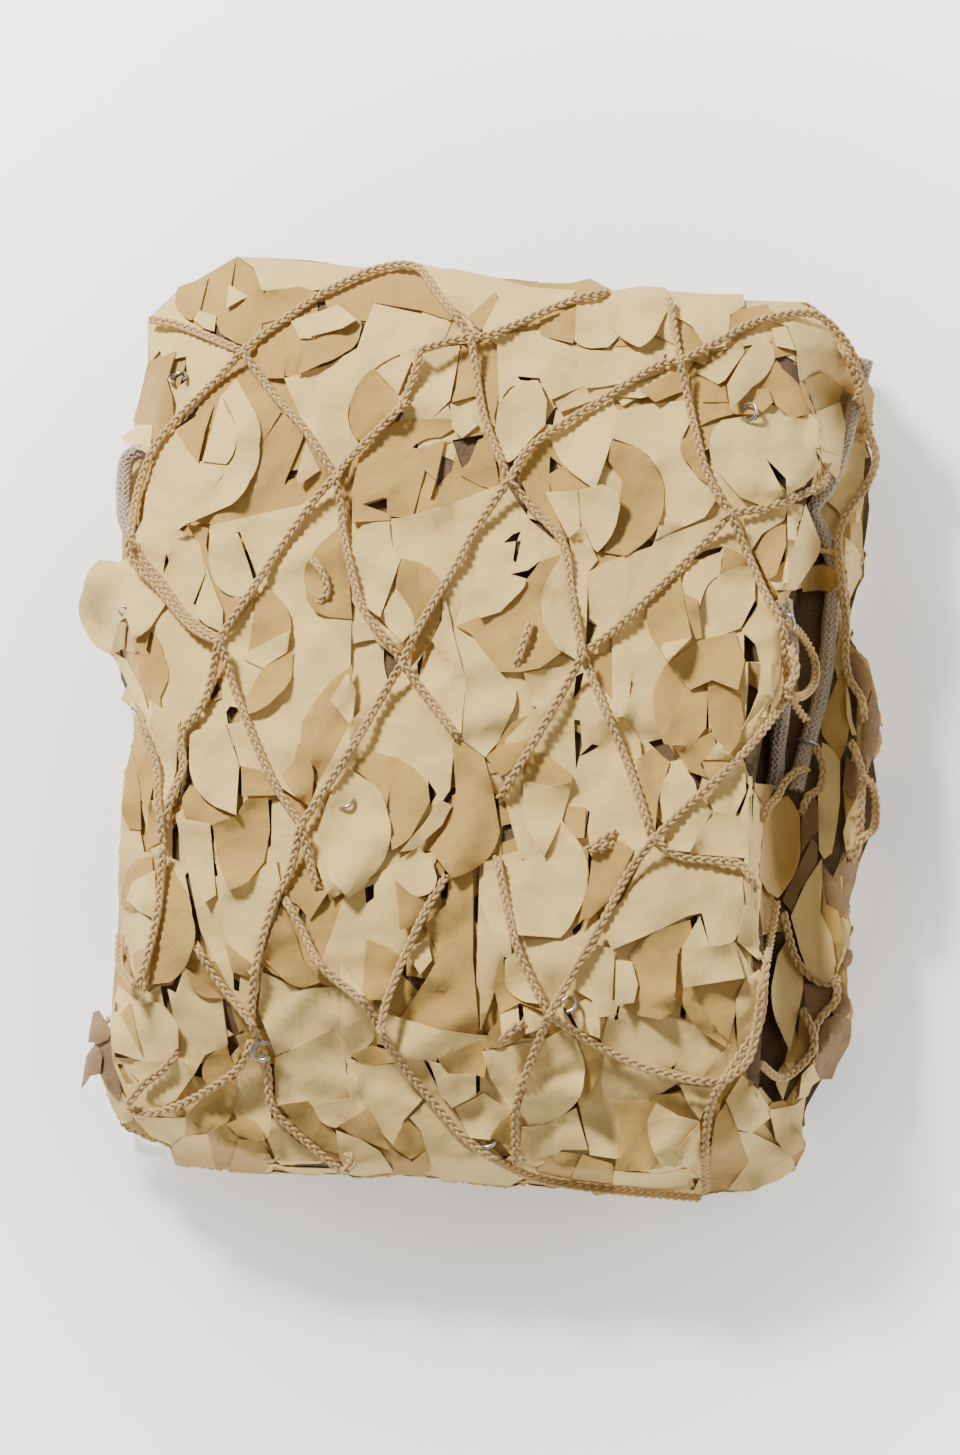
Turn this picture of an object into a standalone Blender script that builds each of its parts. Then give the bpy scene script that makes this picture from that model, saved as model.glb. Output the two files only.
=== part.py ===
"""A camouflage net, folded into a pack.

The net is gathered lengthwise into a strip of several plies, and the strip is folded back and
forth into seven runs. Its border rope shows at the sides, and small wire clips lie on top.
X runs across the pack, Y along it, Z up. Metres. The origin is under the middle of the pack.
"""

import math
from collections import namedtuple

import bmesh
import bpy
from mathutils import Vector
from mathutils.bvhtree import BVHTree

# The strip and its runs
RUN_THICKNESS = 0.0145          # the strip's plies, pressed together
RUN_GAP = 0.0025                # air between two runs
RUN_PITCH = RUN_THICKNESS + RUN_GAP
START_REACH = 0.214             # how far the bottom run's free end lies from the middle

# One row for each run, from the bottom up. reach: from the middle to where the run turns back.
# tuck_left, tuck_right: how far its edges lie inside the pack's outline halfway along.
# lower: 1 follows the lower runs' right edge, 0 the upper runs'.
Run = namedtuple("Run", "reach tuck_left tuck_right lower")
RUNS = (
    Run(0.212, 0.008, 0.006, 1.0),
    Run(0.224, 0.003, 0.000, 1.0),
    Run(0.216, 0.006, 0.004, 1.0),
    Run(0.2255, 0.002, 0.001, 1.0),
    Run(0.2218, 0.000, 0.034, 0.0),     # set back on the right: the border rope lies in the channel
    Run(0.226, 0.028, 0.003, 0.0),      # set back on the left, for the rope's bight
    Run(0.216, 0.010, 0.000, 0.0),
)
TUCK_FADE = (0.168, 0.203)      # the set-back edges come out again where the runs fold

# The pack's outline: half widths at stations along it, to the left, and to the right for the
# upper and the lower runs
Edge = namedtuple("Edge", "along left upper_right lower_right")
OUTLINE = (
    Edge(-0.225, 0.150, 0.140, 0.150),
    Edge(-0.190, 0.160, 0.147, 0.160),
    Edge(-0.140, 0.166, 0.144, 0.178),
    Edge(-0.080, 0.168, 0.142, 0.181),
    Edge(-0.030, 0.169, 0.140, 0.189),
    Edge(0.020, 0.185, 0.145, 0.187),
    Edge(0.060, 0.189, 0.154, 0.175),
    Edge(0.100, 0.186, 0.157, 0.178),
    Edge(0.140, 0.186, 0.161, 0.184),
    Edge(0.180, 0.178, 0.152, 0.178),
    Edge(0.220, 0.162, 0.138, 0.158),
)
FAR_SLANT = 0.055               # the far folds run askew: metres of reach for each metre across
CORNER_ROUNDING = 0.12          # share of the reach that is lost at the pack's corners
FOLD_WAVE = 0.004               # how far the folds wander in and out
EDGE_WAVE = 0.003               # how far the side edges do

# How the stack sinks towards its sides: the share lost there, and where the sinking starts and
# ends, measured outwards from the middle
Sag = namedtuple("Sag", "share start end")
NEAR_SAG = Sag(0.36, 0.130, 0.240)
FAR_SAG = Sag(0.14, 0.165, 0.235)
LEFT_SAG = Sag(0.20, 0.115, 0.195)
RIGHT_SAG = Sag(0.12, 0.105, 0.195)

# How finely the strip is cut into faces
STATIONS_ACROSS = 14            # closer together towards the edges
STATIONS_ALONG = 10
FOLD_STEPS = 6

# Border rope, braided
ROPE_RADIUS = 0.004
ROPE_POINT_STEP = 0.011

# Wire clips
CLIP_RADIUS = 0.0040            # of the wire's centreline
ROPE_CLIP_RADIUS = 0.0053       # the clip that grips the border rope
CLIP_WIRE_RADIUS = 0.0008
CLIP_OPENING = math.radians(70)
CLIP_STEPS = 12
SEAT_GAP = 0.0003

# The clips on top: where each lies, and which way its opening points
Clip = namedtuple("Clip", "name x y turn")
TOP_CLIPS = (
    Clip("clip_01", -0.156, 0.154, 100),
    Clip("clip_02", -0.172, 0.033, 20),
    Clip("clip_03", 0.125, 0.136, 250),
    Clip("clip_04", -0.056, -0.061, 300),
    Clip("clip_05", 0.138, 0.034, 200),
    Clip("clip_06", -0.087, -0.180, 60),
    Clip("clip_07", 0.054, -0.154, 150),
    Clip("clip_08", 0.020, -0.206, 330),
)

# The border rope's stretches. floor_run: the run that each lies on, counted from 1. The route's
# points are x, y and how far the rope is lifted off that run.
Rope = namedtuple("Rope", "name floor_run route")
ROPES = (
    Rope("border_rope_right", 4, (
        (0.130, 0.161, 0.0004), (0.144, 0.165, 0.0004), (0.158, 0.162, 0.0008), (0.168, 0.150, 0.0008),
        (0.168, 0.135, 0.0004), (0.162, 0.118, 0.0004), (0.1585, 0.100, 0.0004), (0.162, 0.083, 0.0004),
        (0.168, 0.066, 0.0004), (0.1705, 0.048, 0.0006), (0.1695, 0.030, 0.0008), (0.1665, 0.010, 0.0012),
        (0.161, -0.010, 0.0016), (0.152, -0.026, 0.0012), (0.140, -0.037, 0.0006), (0.124, -0.042, 0.0004),
    )),
    Rope("border_rope_inner", 4, (
        (0.1230, 0.050, 0.0005), (0.136, 0.045, 0.0005), (0.1455, 0.030, 0.0005), (0.1465, 0.010, 0.0005),
        (0.1430, -0.006, 0.0005), (0.1330, -0.0165, 0.0005), (0.1205, -0.0205, 0.0005),
    )),
    Rope("border_rope_left", 5, (
        (-0.166, 0.128, 0.0012), (-0.1745, 0.126, 0.0012), (-0.1810, 0.117, 0.0012), (-0.1830, 0.104, 0.0012),
        (-0.1830, 0.090, 0.0012), (-0.1800, 0.077, 0.0012), (-0.1720, 0.069, 0.0012), (-0.163, 0.067, 0.0012),
    )),
)
CLIPPED_ROPE_POINT = 12         # the point of the right-hand route that the rope's clip grips


def clear_scene():
    for thing in list(bpy.data.objects):
        bpy.data.objects.remove(thing, do_unlink=True)


def material(name, colour, roughness, metallic=0.0):
    made = bpy.data.materials.new(name)
    made.use_nodes = True
    shader = made.node_tree.nodes["Principled BSDF"]
    shader.inputs["Base Color"].default_value = (*colour, 1.0)
    shader.inputs["Roughness"].default_value = roughness
    shader.inputs["Metallic"].default_value = metallic
    return made


def add_object(name, data, finish):
    made = bpy.data.objects.new(name, data)
    made.data.materials.append(finish)
    bpy.context.scene.collection.objects.link(made)
    return made


def smooth(value, start, end):
    """0 before start, 1 after end, and an even curve between."""
    t = min(max((value - start) / (end - start), 0.0), 1.0)
    return t * t * (3 - 2 * t)


def outline_at(along, column):
    """A half width from OUTLINE, eased between its stations."""
    if along <= OUTLINE[0].along:
        return getattr(OUTLINE[0], column)
    for near, far in zip(OUTLINE, OUTLINE[1:]):
        if along <= far.along:
            t = smooth(along, near.along, far.along)
            return getattr(near, column) * (1 - t) + getattr(far, column) * t
    return getattr(OUTLINE[-1], column)


def squeeze(x, y):
    """Share of its full height that the stack keeps at one place."""
    sunk = sum(
        sag.share * smooth(distance, sag.start, sag.end)
        for sag, distance in ((NEAR_SAG, -y), (FAR_SAG, y), (LEFT_SAG, -x), (RIGHT_SAG, x))
    )
    lumps = 0.018 * math.sin(31 * x + 1.1) * math.cos(27 * y - 0.6) + 0.010 * math.sin(53 * x - 41 * y)
    return 1 - sunk + lumps


def lay(point):
    """Takes a point of the even stack, with x from 0 at the left edge to 1 at the right, to its
    place in the pack."""
    u, along, height = point
    run = RUNS[min(int(height / RUN_PITCH), len(RUNS) - 1)]
    across = 2 * u - 1
    y = along * (1 - CORNER_ROUNDING * abs(across) ** 5)
    right = outline_at(y, "upper_right") * (1 - run.lower) + outline_at(y, "lower_right") * run.lower
    left = outline_at(y, "left")
    tuck = 1 - smooth(abs(y), *TUCK_FADE)
    left -= run.tuck_left * tuck
    right -= run.tuck_right * tuck
    x = -left * (1 - u) + right * u
    x += EDGE_WAVE * math.sin(47 * y + 130 * height) * across ** 4
    y += FOLD_WAVE * math.sin(38 * x + 75 * height) * smooth(abs(y), 0.15, 0.2)
    y -= FAR_SLANT * x * smooth(y, 0.0, 0.2)
    return Vector((x, y, height * squeeze(x, y)))


def section_side(outer_first):
    """One side of the back-and-forth section, in (along, height)."""
    points = []
    start = -START_REACH
    half = RUN_THICKNESS / 2
    for number, run in enumerate(RUNS):
        heading = 1 if number % 2 == 0 else -1
        outer = (number % 2 == 0) == outer_first
        middle = half + number * RUN_PITCH
        height = middle - half if outer else middle + half
        last = number == len(RUNS) - 1
        turn = heading * (run.reach - (0 if last else RUN_PITCH / 2 + half))
        for step in range(STATIONS_ALONG):
            points.append((start + (turn - start) * step / (STATIONS_ALONG - 1), height))
        start = turn
        if last:
            break
        radius = RUN_PITCH / 2 + (half if outer else -half)
        for step in range(1, FOLD_STEPS):
            angle = math.pi * step / FOLD_STEPS - math.pi / 2
            points.append((turn + heading * radius * math.cos(angle),
                           middle + RUN_PITCH / 2 + radius * math.sin(angle)))
    return points


def folded_net():
    """The folded strip: its section, extruded across the pack station by station."""
    outline = section_side(True) + section_side(False)[::-1]
    mesh = bmesh.new()
    cap = mesh.faces.new([mesh.verts.new((0, along, height)) for along, height in outline])
    first_cap = cap
    turns = [math.pi * step / STATIONS_ACROSS for step in range(STATIONS_ACROSS + 1)]
    stations = [0.5 - 0.5 * math.cos(turn) for turn in turns]
    for here, there in zip(stations, stations[1:]):
        grown = bmesh.ops.extrude_face_region(mesh, geom=[cap])["geom"]
        if cap is not first_cap:
            bmesh.ops.delete(mesh, geom=[cap], context="FACES_ONLY")
        cap = next(item for item in grown if isinstance(item, bmesh.types.BMFace))
        bmesh.ops.translate(mesh, vec=Vector((there - here, 0, 0)), verts=list(cap.verts))
    bmesh.ops.triangulate(mesh, faces=[first_cap, cap], quad_method="BEAUTY", ngon_method="BEAUTY")
    for vert in mesh.verts:
        vert.co = lay(vert.co)
    bmesh.ops.triangulate(mesh, faces=[face for face in mesh.faces if len(face.verts) > 3])
    bmesh.ops.recalc_face_normals(mesh, faces=mesh.faces)
    data = bpy.data.meshes.new("folded_net")
    mesh.to_mesh(data)
    mesh.free()
    return add_object("folded_net", data, material("net_cloth", (0.62, 0.53, 0.38), 0.9))


def through(knots, spacing):
    """Points at even steps along a smooth curve through the knots."""
    padded = [2 * knots[0] - knots[1]] + knots + [2 * knots[-1] - knots[-2]]
    fine = []
    for a, b, c, d in zip(padded, padded[1:], padded[2:], padded[3:]):
        for step in range(12):
            t = step / 12
            fine.append(0.5 * (2 * b + (c - a) * t + (2 * a - 5 * b + 4 * c - d) * t ** 2
                               + (3 * b - a - 3 * c + d) * t ** 3))
    fine.append(knots[-1])
    length = sum((q - p).length for p, q in zip(fine, fine[1:]))
    wanted = length / max(round(length / spacing), 1)
    chosen, walked = [fine[0]], 0.0
    for p, q in zip(fine, fine[1:]):
        walked += (q - p).length
        if walked >= wanted * len(chosen) - 1e-6:
            chosen.append(q)
    return chosen


def tube(name, points, radius, sides, finish):
    """A closed round tube along the points; sides is the curve's bevel resolution."""
    curve = bpy.data.curves.new(name, "CURVE")
    curve.dimensions = "3D"
    curve.bevel_depth = radius
    curve.bevel_resolution = sides
    curve.use_fill_caps = True
    spline = curve.splines.new("POLY")
    spline.points.add(len(points) - 1)
    for spline_point, point in zip(spline.points, points):
        spline_point.co = (*point, 1.0)
    return add_object(name, curve, finish)


def rope_knots(rope):
    """The route's points in the pack, lifted onto the run that the rope lies on."""
    floor = rope.floor_run * RUN_PITCH - RUN_GAP
    seat = ROPE_RADIUS + SEAT_GAP
    return [Vector((x, y, floor * squeeze(x, y) + seat + lift)) for x, y, lift in rope.route]


def border_ropes():
    finish = material("braided_rope", (0.30, 0.24, 0.19), 0.85)
    for rope in ROPES:
        tube(rope.name, through(rope_knots(rope), ROPE_POINT_STEP), ROPE_RADIUS, 2, finish)


def ring_points(centre, side, up, radius, opening):
    """An open ring round the centre, in the plane of side and up, its opening at -up."""
    sweep = 2 * math.pi - CLIP_OPENING
    points = []
    for step in range(CLIP_STEPS + 1):
        angle = opening + CLIP_OPENING / 2 + sweep * step / CLIP_STEPS
        points.append(centre + radius * (math.cos(angle) * side + math.sin(angle) * up))
    return points


def top_clips(net, finish):
    """Clips that lie flat on the top run, each on the slope of the cloth under it."""
    surface = BVHTree.FromObject(net, bpy.context.evaluated_depsgraph_get())
    down = Vector((0, 0, -1))
    for clip in TOP_CLIPS:
        centre, normal, _, _ = surface.ray_cast(Vector((clip.x, clip.y, 1)), down)
        side = Vector((0, 1, 0)).cross(normal).normalized()
        ring = ring_points(centre, side, normal.cross(side), CLIP_RADIUS, math.radians(clip.turn))
        sunk = max((surface.ray_cast(Vector((p.x, p.y, 1)), down)[0].z - p.z) * normal.z for p in ring)
        lift = normal * (sunk + CLIP_WIRE_RADIUS + SEAT_GAP)
        tube(clip.name, [p + lift for p in ring], CLIP_WIRE_RADIUS, 2, finish)


def rope_clip(finish):
    """The clip closed round the right-hand border rope, its opening underneath."""
    knots = rope_knots(ROPES[0])
    before, centre, after = knots[CLIPPED_ROPE_POINT - 1:CLIPPED_ROPE_POINT + 2]
    along = (after - before).normalized()
    side = along.cross(Vector((0, 0, 1))).normalized()
    ring = ring_points(centre, side, side.cross(along), ROPE_CLIP_RADIUS, math.radians(-90))
    tube("clip_09", ring, CLIP_WIRE_RADIUS, 2, finish)


def main():
    clear_scene()
    net = folded_net()
    border_ropes()
    bpy.context.view_layer.update()
    steel = material("clip_steel", (0.75, 0.75, 0.74), 0.3, 1.0)
    top_clips(net, steel)
    rope_clip(steel)


main()
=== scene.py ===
import math
import random
from collections import namedtuple

import bmesh
import bpy
import numpy as np
from mathutils import Matrix, Vector
from mathutils.bvhtree import BVHTree


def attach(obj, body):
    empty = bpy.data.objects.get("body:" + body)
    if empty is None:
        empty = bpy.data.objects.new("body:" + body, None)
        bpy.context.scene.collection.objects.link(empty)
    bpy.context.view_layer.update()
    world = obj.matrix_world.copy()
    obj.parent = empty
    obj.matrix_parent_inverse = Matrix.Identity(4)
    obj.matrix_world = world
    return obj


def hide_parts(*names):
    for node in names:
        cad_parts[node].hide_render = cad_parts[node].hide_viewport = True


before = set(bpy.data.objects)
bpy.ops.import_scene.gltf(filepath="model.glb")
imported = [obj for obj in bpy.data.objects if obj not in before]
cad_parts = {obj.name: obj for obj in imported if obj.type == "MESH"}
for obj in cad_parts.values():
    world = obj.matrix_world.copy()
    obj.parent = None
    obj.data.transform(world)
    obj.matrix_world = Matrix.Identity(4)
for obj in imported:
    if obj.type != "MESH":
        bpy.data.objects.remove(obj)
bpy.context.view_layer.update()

scene = bpy.context.scene
pixel = 0.00047               # metres that one pixel of the main view spans at its aim

# The main view, whose size is in pixels
mainView = {
    "size": (960, 1455),
    "lean": 16.0,             # degrees off the vertical, towards the near side
    "turn": 9.0,              # degrees off the vertical, towards the right
    "roll": 3.6,
    "distance": 1.7,
    "aim": (0.004, -0.020, 0.110),
    "aimPixel": (478, 722),
    "sensor": 36,
    "farthest": 20,
}


def viewAxes(view):
    lean, turn, roll = (math.radians(view[name]) for name in ("lean", "turn", "roll"))
    back = Vector((math.tan(turn), -math.tan(lean), 1)).normalized()
    right = Vector((0, 1, 0)).cross(back).normalized()
    up = back.cross(right)
    return math.cos(roll) * right + math.sin(roll) * up, math.cos(roll) * up - math.sin(roll) * right, back


def added(name, data):
    made = bpy.data.objects.new(name, data)
    scene.collection.objects.link(made)
    return made


def addCamera(view):
    right, up, back = viewAxes(view)
    width, height = view["size"]
    aside = right * (width / 2 - view["aimPixel"][0]) - up * (height / 2 - view["aimPixel"][1])
    camera = added("camera", bpy.data.cameras.new("camera"))
    camera.rotation_euler = Matrix((right, up, back)).transposed().to_euler()
    camera.location = Vector(view["aim"]) + back * view["distance"] + aside * pixel
    camera.data.sensor_fit = "VERTICAL"
    camera.data.sensor_height = view["sensor"]
    camera.data.lens = view["sensor"] * view["distance"] / pixel / height
    camera.data.clip_end = view["farthest"]
    scene.camera = camera


addCamera(mainView)
print("camera placed")


# Materials


class Flow:                   # a node's output, or a number made from some
    def __init__(self, paint, socket):
        self.paint = paint
        self.socket = socket

    def math(self, operation, *others):
        return self.paint.node("ShaderNodeMath", {"operation": operation}, dict(enumerate((self, *others))))

    def __add__(self, other):
        return self.math("ADD", other)

    def __mul__(self, other):
        return self.math("MULTIPLY", other)

    def __sub__(self, other):
        return self.math("SUBTRACT", other)

    def __rsub__(self, other):
        return self.paint.node("ShaderNodeMath", {"operation": "SUBTRACT"}, {0: other, 1: self})

    __radd__ = __add__
    __rmul__ = __mul__


class Paint:                  # a material and its nodes
    def __init__(self, name):
        self.material = bpy.data.materials.new(name)
        self.material.use_nodes = True
        self.tree = self.material.node_tree
        self.shader = self.tree.nodes["Principled BSDF"]

    def plug(self, socket, value):
        if isinstance(value, Flow):
            self.tree.links.new(value.socket, socket)
        else:
            socket.default_value = value

    def node(self, kind, settings, sockets, output=0):
        made = self.tree.nodes.new(kind)
        for name, value in settings.items():
            setattr(made, name, value)
        for name, value in sockets.items():
            self.plug(made.inputs[name], value)
        return Flow(self, made.outputs[output])

    def set(self, **values):
        for name, value in values.items():
            self.plug(self.shader.inputs[name.replace("_", " ")], value)

    def mix(self, share, first, second):
        return self.node("ShaderNodeMix", {"data_type": "RGBA"}, {0: share, 6: first, 7: second}, 2)

    def noise(self, vector, scale, detail=2.0, roughness=0.5):
        return self.node("ShaderNodeTexNoise", {},
                         {"Vector": vector, "Scale": scale, "Detail": detail, "Roughness": roughness})

    def objectPlace(self):
        return self.node("ShaderNodeTexCoord", {}, {}, 3)

    def stretched(self, vector, across, down):
        return self.node("ShaderNodeVectorMath", {"operation": "MULTIPLY"}, {0: vector, 1: (across, down, 1)})

    def bump(self, height, strength, distance):
        return self.node("ShaderNodeBump", {}, {"Height": height, "Strength": strength, "Distance": distance})


def colour(red, green, blue):
    steps = [value / 255 for value in (red, green, blue)]
    return (*((v / 12.92 if v <= 0.04045 else ((v + 0.055) / 1.055) ** 2.4) for v in steps), 1.0)


cloth = {
    "weave": 0.00085,         # metres from thread to thread
    "patches": (38.0, 3.0, 0.6),          # noises: scale, detail and roughness
    "grain": (900.0, 2.0, 0.6),
    "threads": (1300.0, 2.0, 0.6),
    "lumps": (160.0, 2.0, 0.45),
    "creases": (34.0, 3.0, 0.5),
    "thin": 0.06,             # a thread's noise across it, over that along it
    "patchWear": 0.9,         # what each adds to how worn the cloth looks
    "grainWear": 0.3,
    "threadWear": 1.1,
    "weaveWear": 0.04,
    "patchShine": 0.12,       # how much less rough a worn patch is
    "weaveRise": 0.02,        # what each adds to the relief
    "grainRise": 0.05,
    "lumpRise": 0.3,
    "creaseRise": 0.8,
    "creaseWidth": 2.2,       # the larger, the narrower
    "bump": (0.7, 0.0014),    # strength, and depth in metres
    "roughness": 0.88,
    "specular": 0.22,
    "sheen": 0.12,
    "sheenRoughness": 0.6,
    "sand": ((237, 205, 130), (222, 188, 116)),     # clean and worn
    "tan": ((199, 160, 86), (178, 140, 72)),
    # tan cloth darkened as painted shade, for leaves that hang in shadow
    "paintedShadeTan": ((156, 124, 82), (122, 95, 60)),
    # the plies' tones, darker than the garnish's: painted shade in the gaps between leaves
    "inner": ((126, 101, 68), (82, 63, 42)),
}


def clothPaint(name, tones):
    paint = Paint(name)
    clean, worn = (colour(*tone) for tone in tones)
    uv = paint.node("ShaderNodeUVMap", {"uv_map": "cut"}, {})
    across = paint.node("ShaderNodeSeparateXYZ", {}, {0: uv})
    down = Flow(paint, across.socket.node.outputs[1])
    turn = 2 * math.pi / cloth["weave"]
    threads = (across * turn).math("SINE") * (down * turn).math("SINE")
    place = paint.objectPlace()
    patches = paint.noise(place, *cloth["patches"])
    grain = paint.noise(uv, *cloth["grain"])
    warp = paint.noise(paint.stretched(uv, cloth["thin"], 1), *cloth["threads"])
    weft = paint.noise(paint.stretched(uv, 1, cloth["thin"]), *cloth["threads"])
    shade = paint.node("ShaderNodeAttribute", {"attribute_name": "shade"}, {}, 2)
    wear = ((patches - 0.5) * cloth["patchWear"] + shade + (grain - 0.5) * cloth["grainWear"]
            + (warp + weft - 1) * cloth["threadWear"] + threads * cloth["weaveWear"])
    wear.socket.node.use_clamp = True
    fold = (paint.noise(place, *cloth["creases"]) - 0.5) * 2
    creases = 1 - fold.math("ABSOLUTE") * cloth["creaseWidth"]
    lumps = paint.noise(place, *cloth["lumps"])
    relief = (threads * cloth["weaveRise"] + grain * cloth["grainRise"] + lumps * cloth["lumpRise"]
              + creases * cloth["creaseRise"])
    paint.set(Base_Color=paint.mix(wear, clean, worn), Normal=paint.bump(relief, *cloth["bump"]),
              Roughness=cloth["roughness"] - (patches - 0.5) * cloth["patchShine"],
              Specular_IOR_Level=cloth["specular"], Sheen_Weight=cloth["sheen"],
              Sheen_Roughness=cloth["sheenRoughness"])
    return paint.material


sand = clothPaint("garnish_sand", cloth["sand"])
tan = clothPaint("garnish_tan", cloth["tan"])
# a darker copy of the tan: painted shade
paintedShadeTan = clothPaint("garnish_tan_painted_shade", cloth["paintedShadeTan"])
# the plies that show in the gaps, coloured as painted shade
paintedShadePlies = clothPaint("inner_plies_painted_shade", cloth["inner"])

yarn = {                      # light and dark tone, noise scale of the tufts and roughness
    # net_yarn: its tones, mixed by the tufts' noise, are partly the yarn's own mottle and partly painted
    # highlights and painted shade of the pits between stitches
    "net_yarn": ((255, 222, 158), (142, 98, 50), 900.0, 0.85),
    "border_rope_dark": ((96, 78, 60), (54, 42, 32), 1100.0, 0.85),
    "border_rope_yarn": ((224, 208, 182), (160, 140, 116), 1100.0, 0.82),
    "fibres": 5,              # for each tuft
    "tone": (0.7, 0.5, 0.1),  # shares of the tufts and fibres, and what is taken off
    "relief": (0.4, 0.6),
    "bump": (0.6, 0.0005),
    "specular": 0.25,
}


def yarnPaint(name):
    light, dark, scale, roughness = yarn[name]
    paint = Paint(name)
    place = paint.objectPlace()
    tuft = paint.noise(place, scale, 3.0, 0.6)
    fibre = paint.noise(place, scale * yarn["fibres"], 2.0, 0.7)
    tuftShare, fibreShare, off = yarn["tone"]
    tuftRise, fibreRise = yarn["relief"]
    tone = tuft * tuftShare + fibre * fibreShare - off
    paint.set(Base_Color=paint.mix(tone, colour(*dark), colour(*light)), Roughness=roughness,
              Normal=paint.bump(fibre * fibreRise + tuft * tuftRise, *yarn["bump"]),
              Specular_IOR_Level=yarn["specular"])
    return paint.material


netYarn = yarnPaint("net_yarn")
ropeDark = yarnPaint("border_rope_dark")
ropeYarn = yarnPaint("border_rope_yarn")

wire = {
    "bright": (205, 205, 203),
    "dull": (165, 164, 160),
    "rubs": (700.0, 2.0, 0.5),
    "roughness": (0.18, 0.38),
}


def steelPaint():
    paint = Paint("clip_steel")
    rub = paint.noise(paint.objectPlace(), *wire["rubs"])
    smooth, rough = wire["roughness"]
    paint.set(Base_Color=paint.mix(rub, colour(*wire["bright"]), colour(*wire["dull"])), Metallic=1.0,
              Roughness=smooth + rub * (rough - smooth))
    return paint.material


steel = steelPaint()
print("materials mixed")


# Pieces. Each rides on the one body.


def fitted(piece):
    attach(piece, "root")
    return piece


def baked(source, name):      # what a curve or a modifier makes of an object, as a plain mesh
    data = bpy.data.meshes.new_from_object(source.evaluated_get(bpy.context.evaluated_depsgraph_get()))
    data.name = name
    return data


def walled(name, mesh, finishes, thickness, offset, reverse=0):   # cloth with its thickness
    data = bpy.data.meshes.new(name)
    mesh.to_mesh(data)
    mesh.free()
    for finish in finishes:
        data.materials.append(finish)
    piece = added(name, data)
    wall = piece.modifiers.new("thickness", "SOLIDIFY")
    wall.thickness = thickness
    wall.offset = offset
    wall.material_offset = reverse
    data = baked(piece, name)
    piece.modifiers.clear()
    piece.data = data
    return fitted(piece)


def newCurve(name, radius, roundness):
    curve = bpy.data.curves.new(name, "CURVE")
    curve.dimensions = "3D"
    curve.bevel_depth = radius
    curve.bevel_resolution = roundness
    curve.use_fill_caps = True
    return curve


def addLine(curve, points, finish=0):
    spline = curve.splines.new("POLY")
    spline.material_index = finish
    spline.points.add(len(points) - 1)
    for spot, point in zip(spline.points, points):
        spot.co = (*point, 1.0)


def curvePiece(name, curve, finishes):
    for finish in finishes:
        curve.materials.append(finish)
    line = added(name + "_line", curve)
    data = baked(line, name)
    bpy.data.objects.remove(line)
    data.shade_smooth()
    return fitted(added(name, data))


# Laying cloth. A bed is the pack seen along one line: it keeps how high the cloth already lies at
# each of its cells, so that what comes next rests on it. Heights are metres towards the eye.

bedding = {
    "cell": 2.5,              # pixels
    "skirt": 24,              # cells by which cloth may reach past the edge, where it hangs down
    "fall": 0.0011,           # how far it hangs down for each cell
    "probe": (-0.06, 0.06),   # heights at which a side's cells are tried for being hidden
    "probes": 110,
    "slack": 0.0015,
    "noRoom": -1,             # the ceiling where no cloth may lie
    "highest": 0.101,         # cloth of the sides stays below this level of the pack
    "topReach": (-0.16, 0.06),            # heights between which a bed is surveyed
    "sideReach": (-0.12, 0.09),
    "bridge": 10,             # cells round which the sides close the gaps between runs
}


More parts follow.
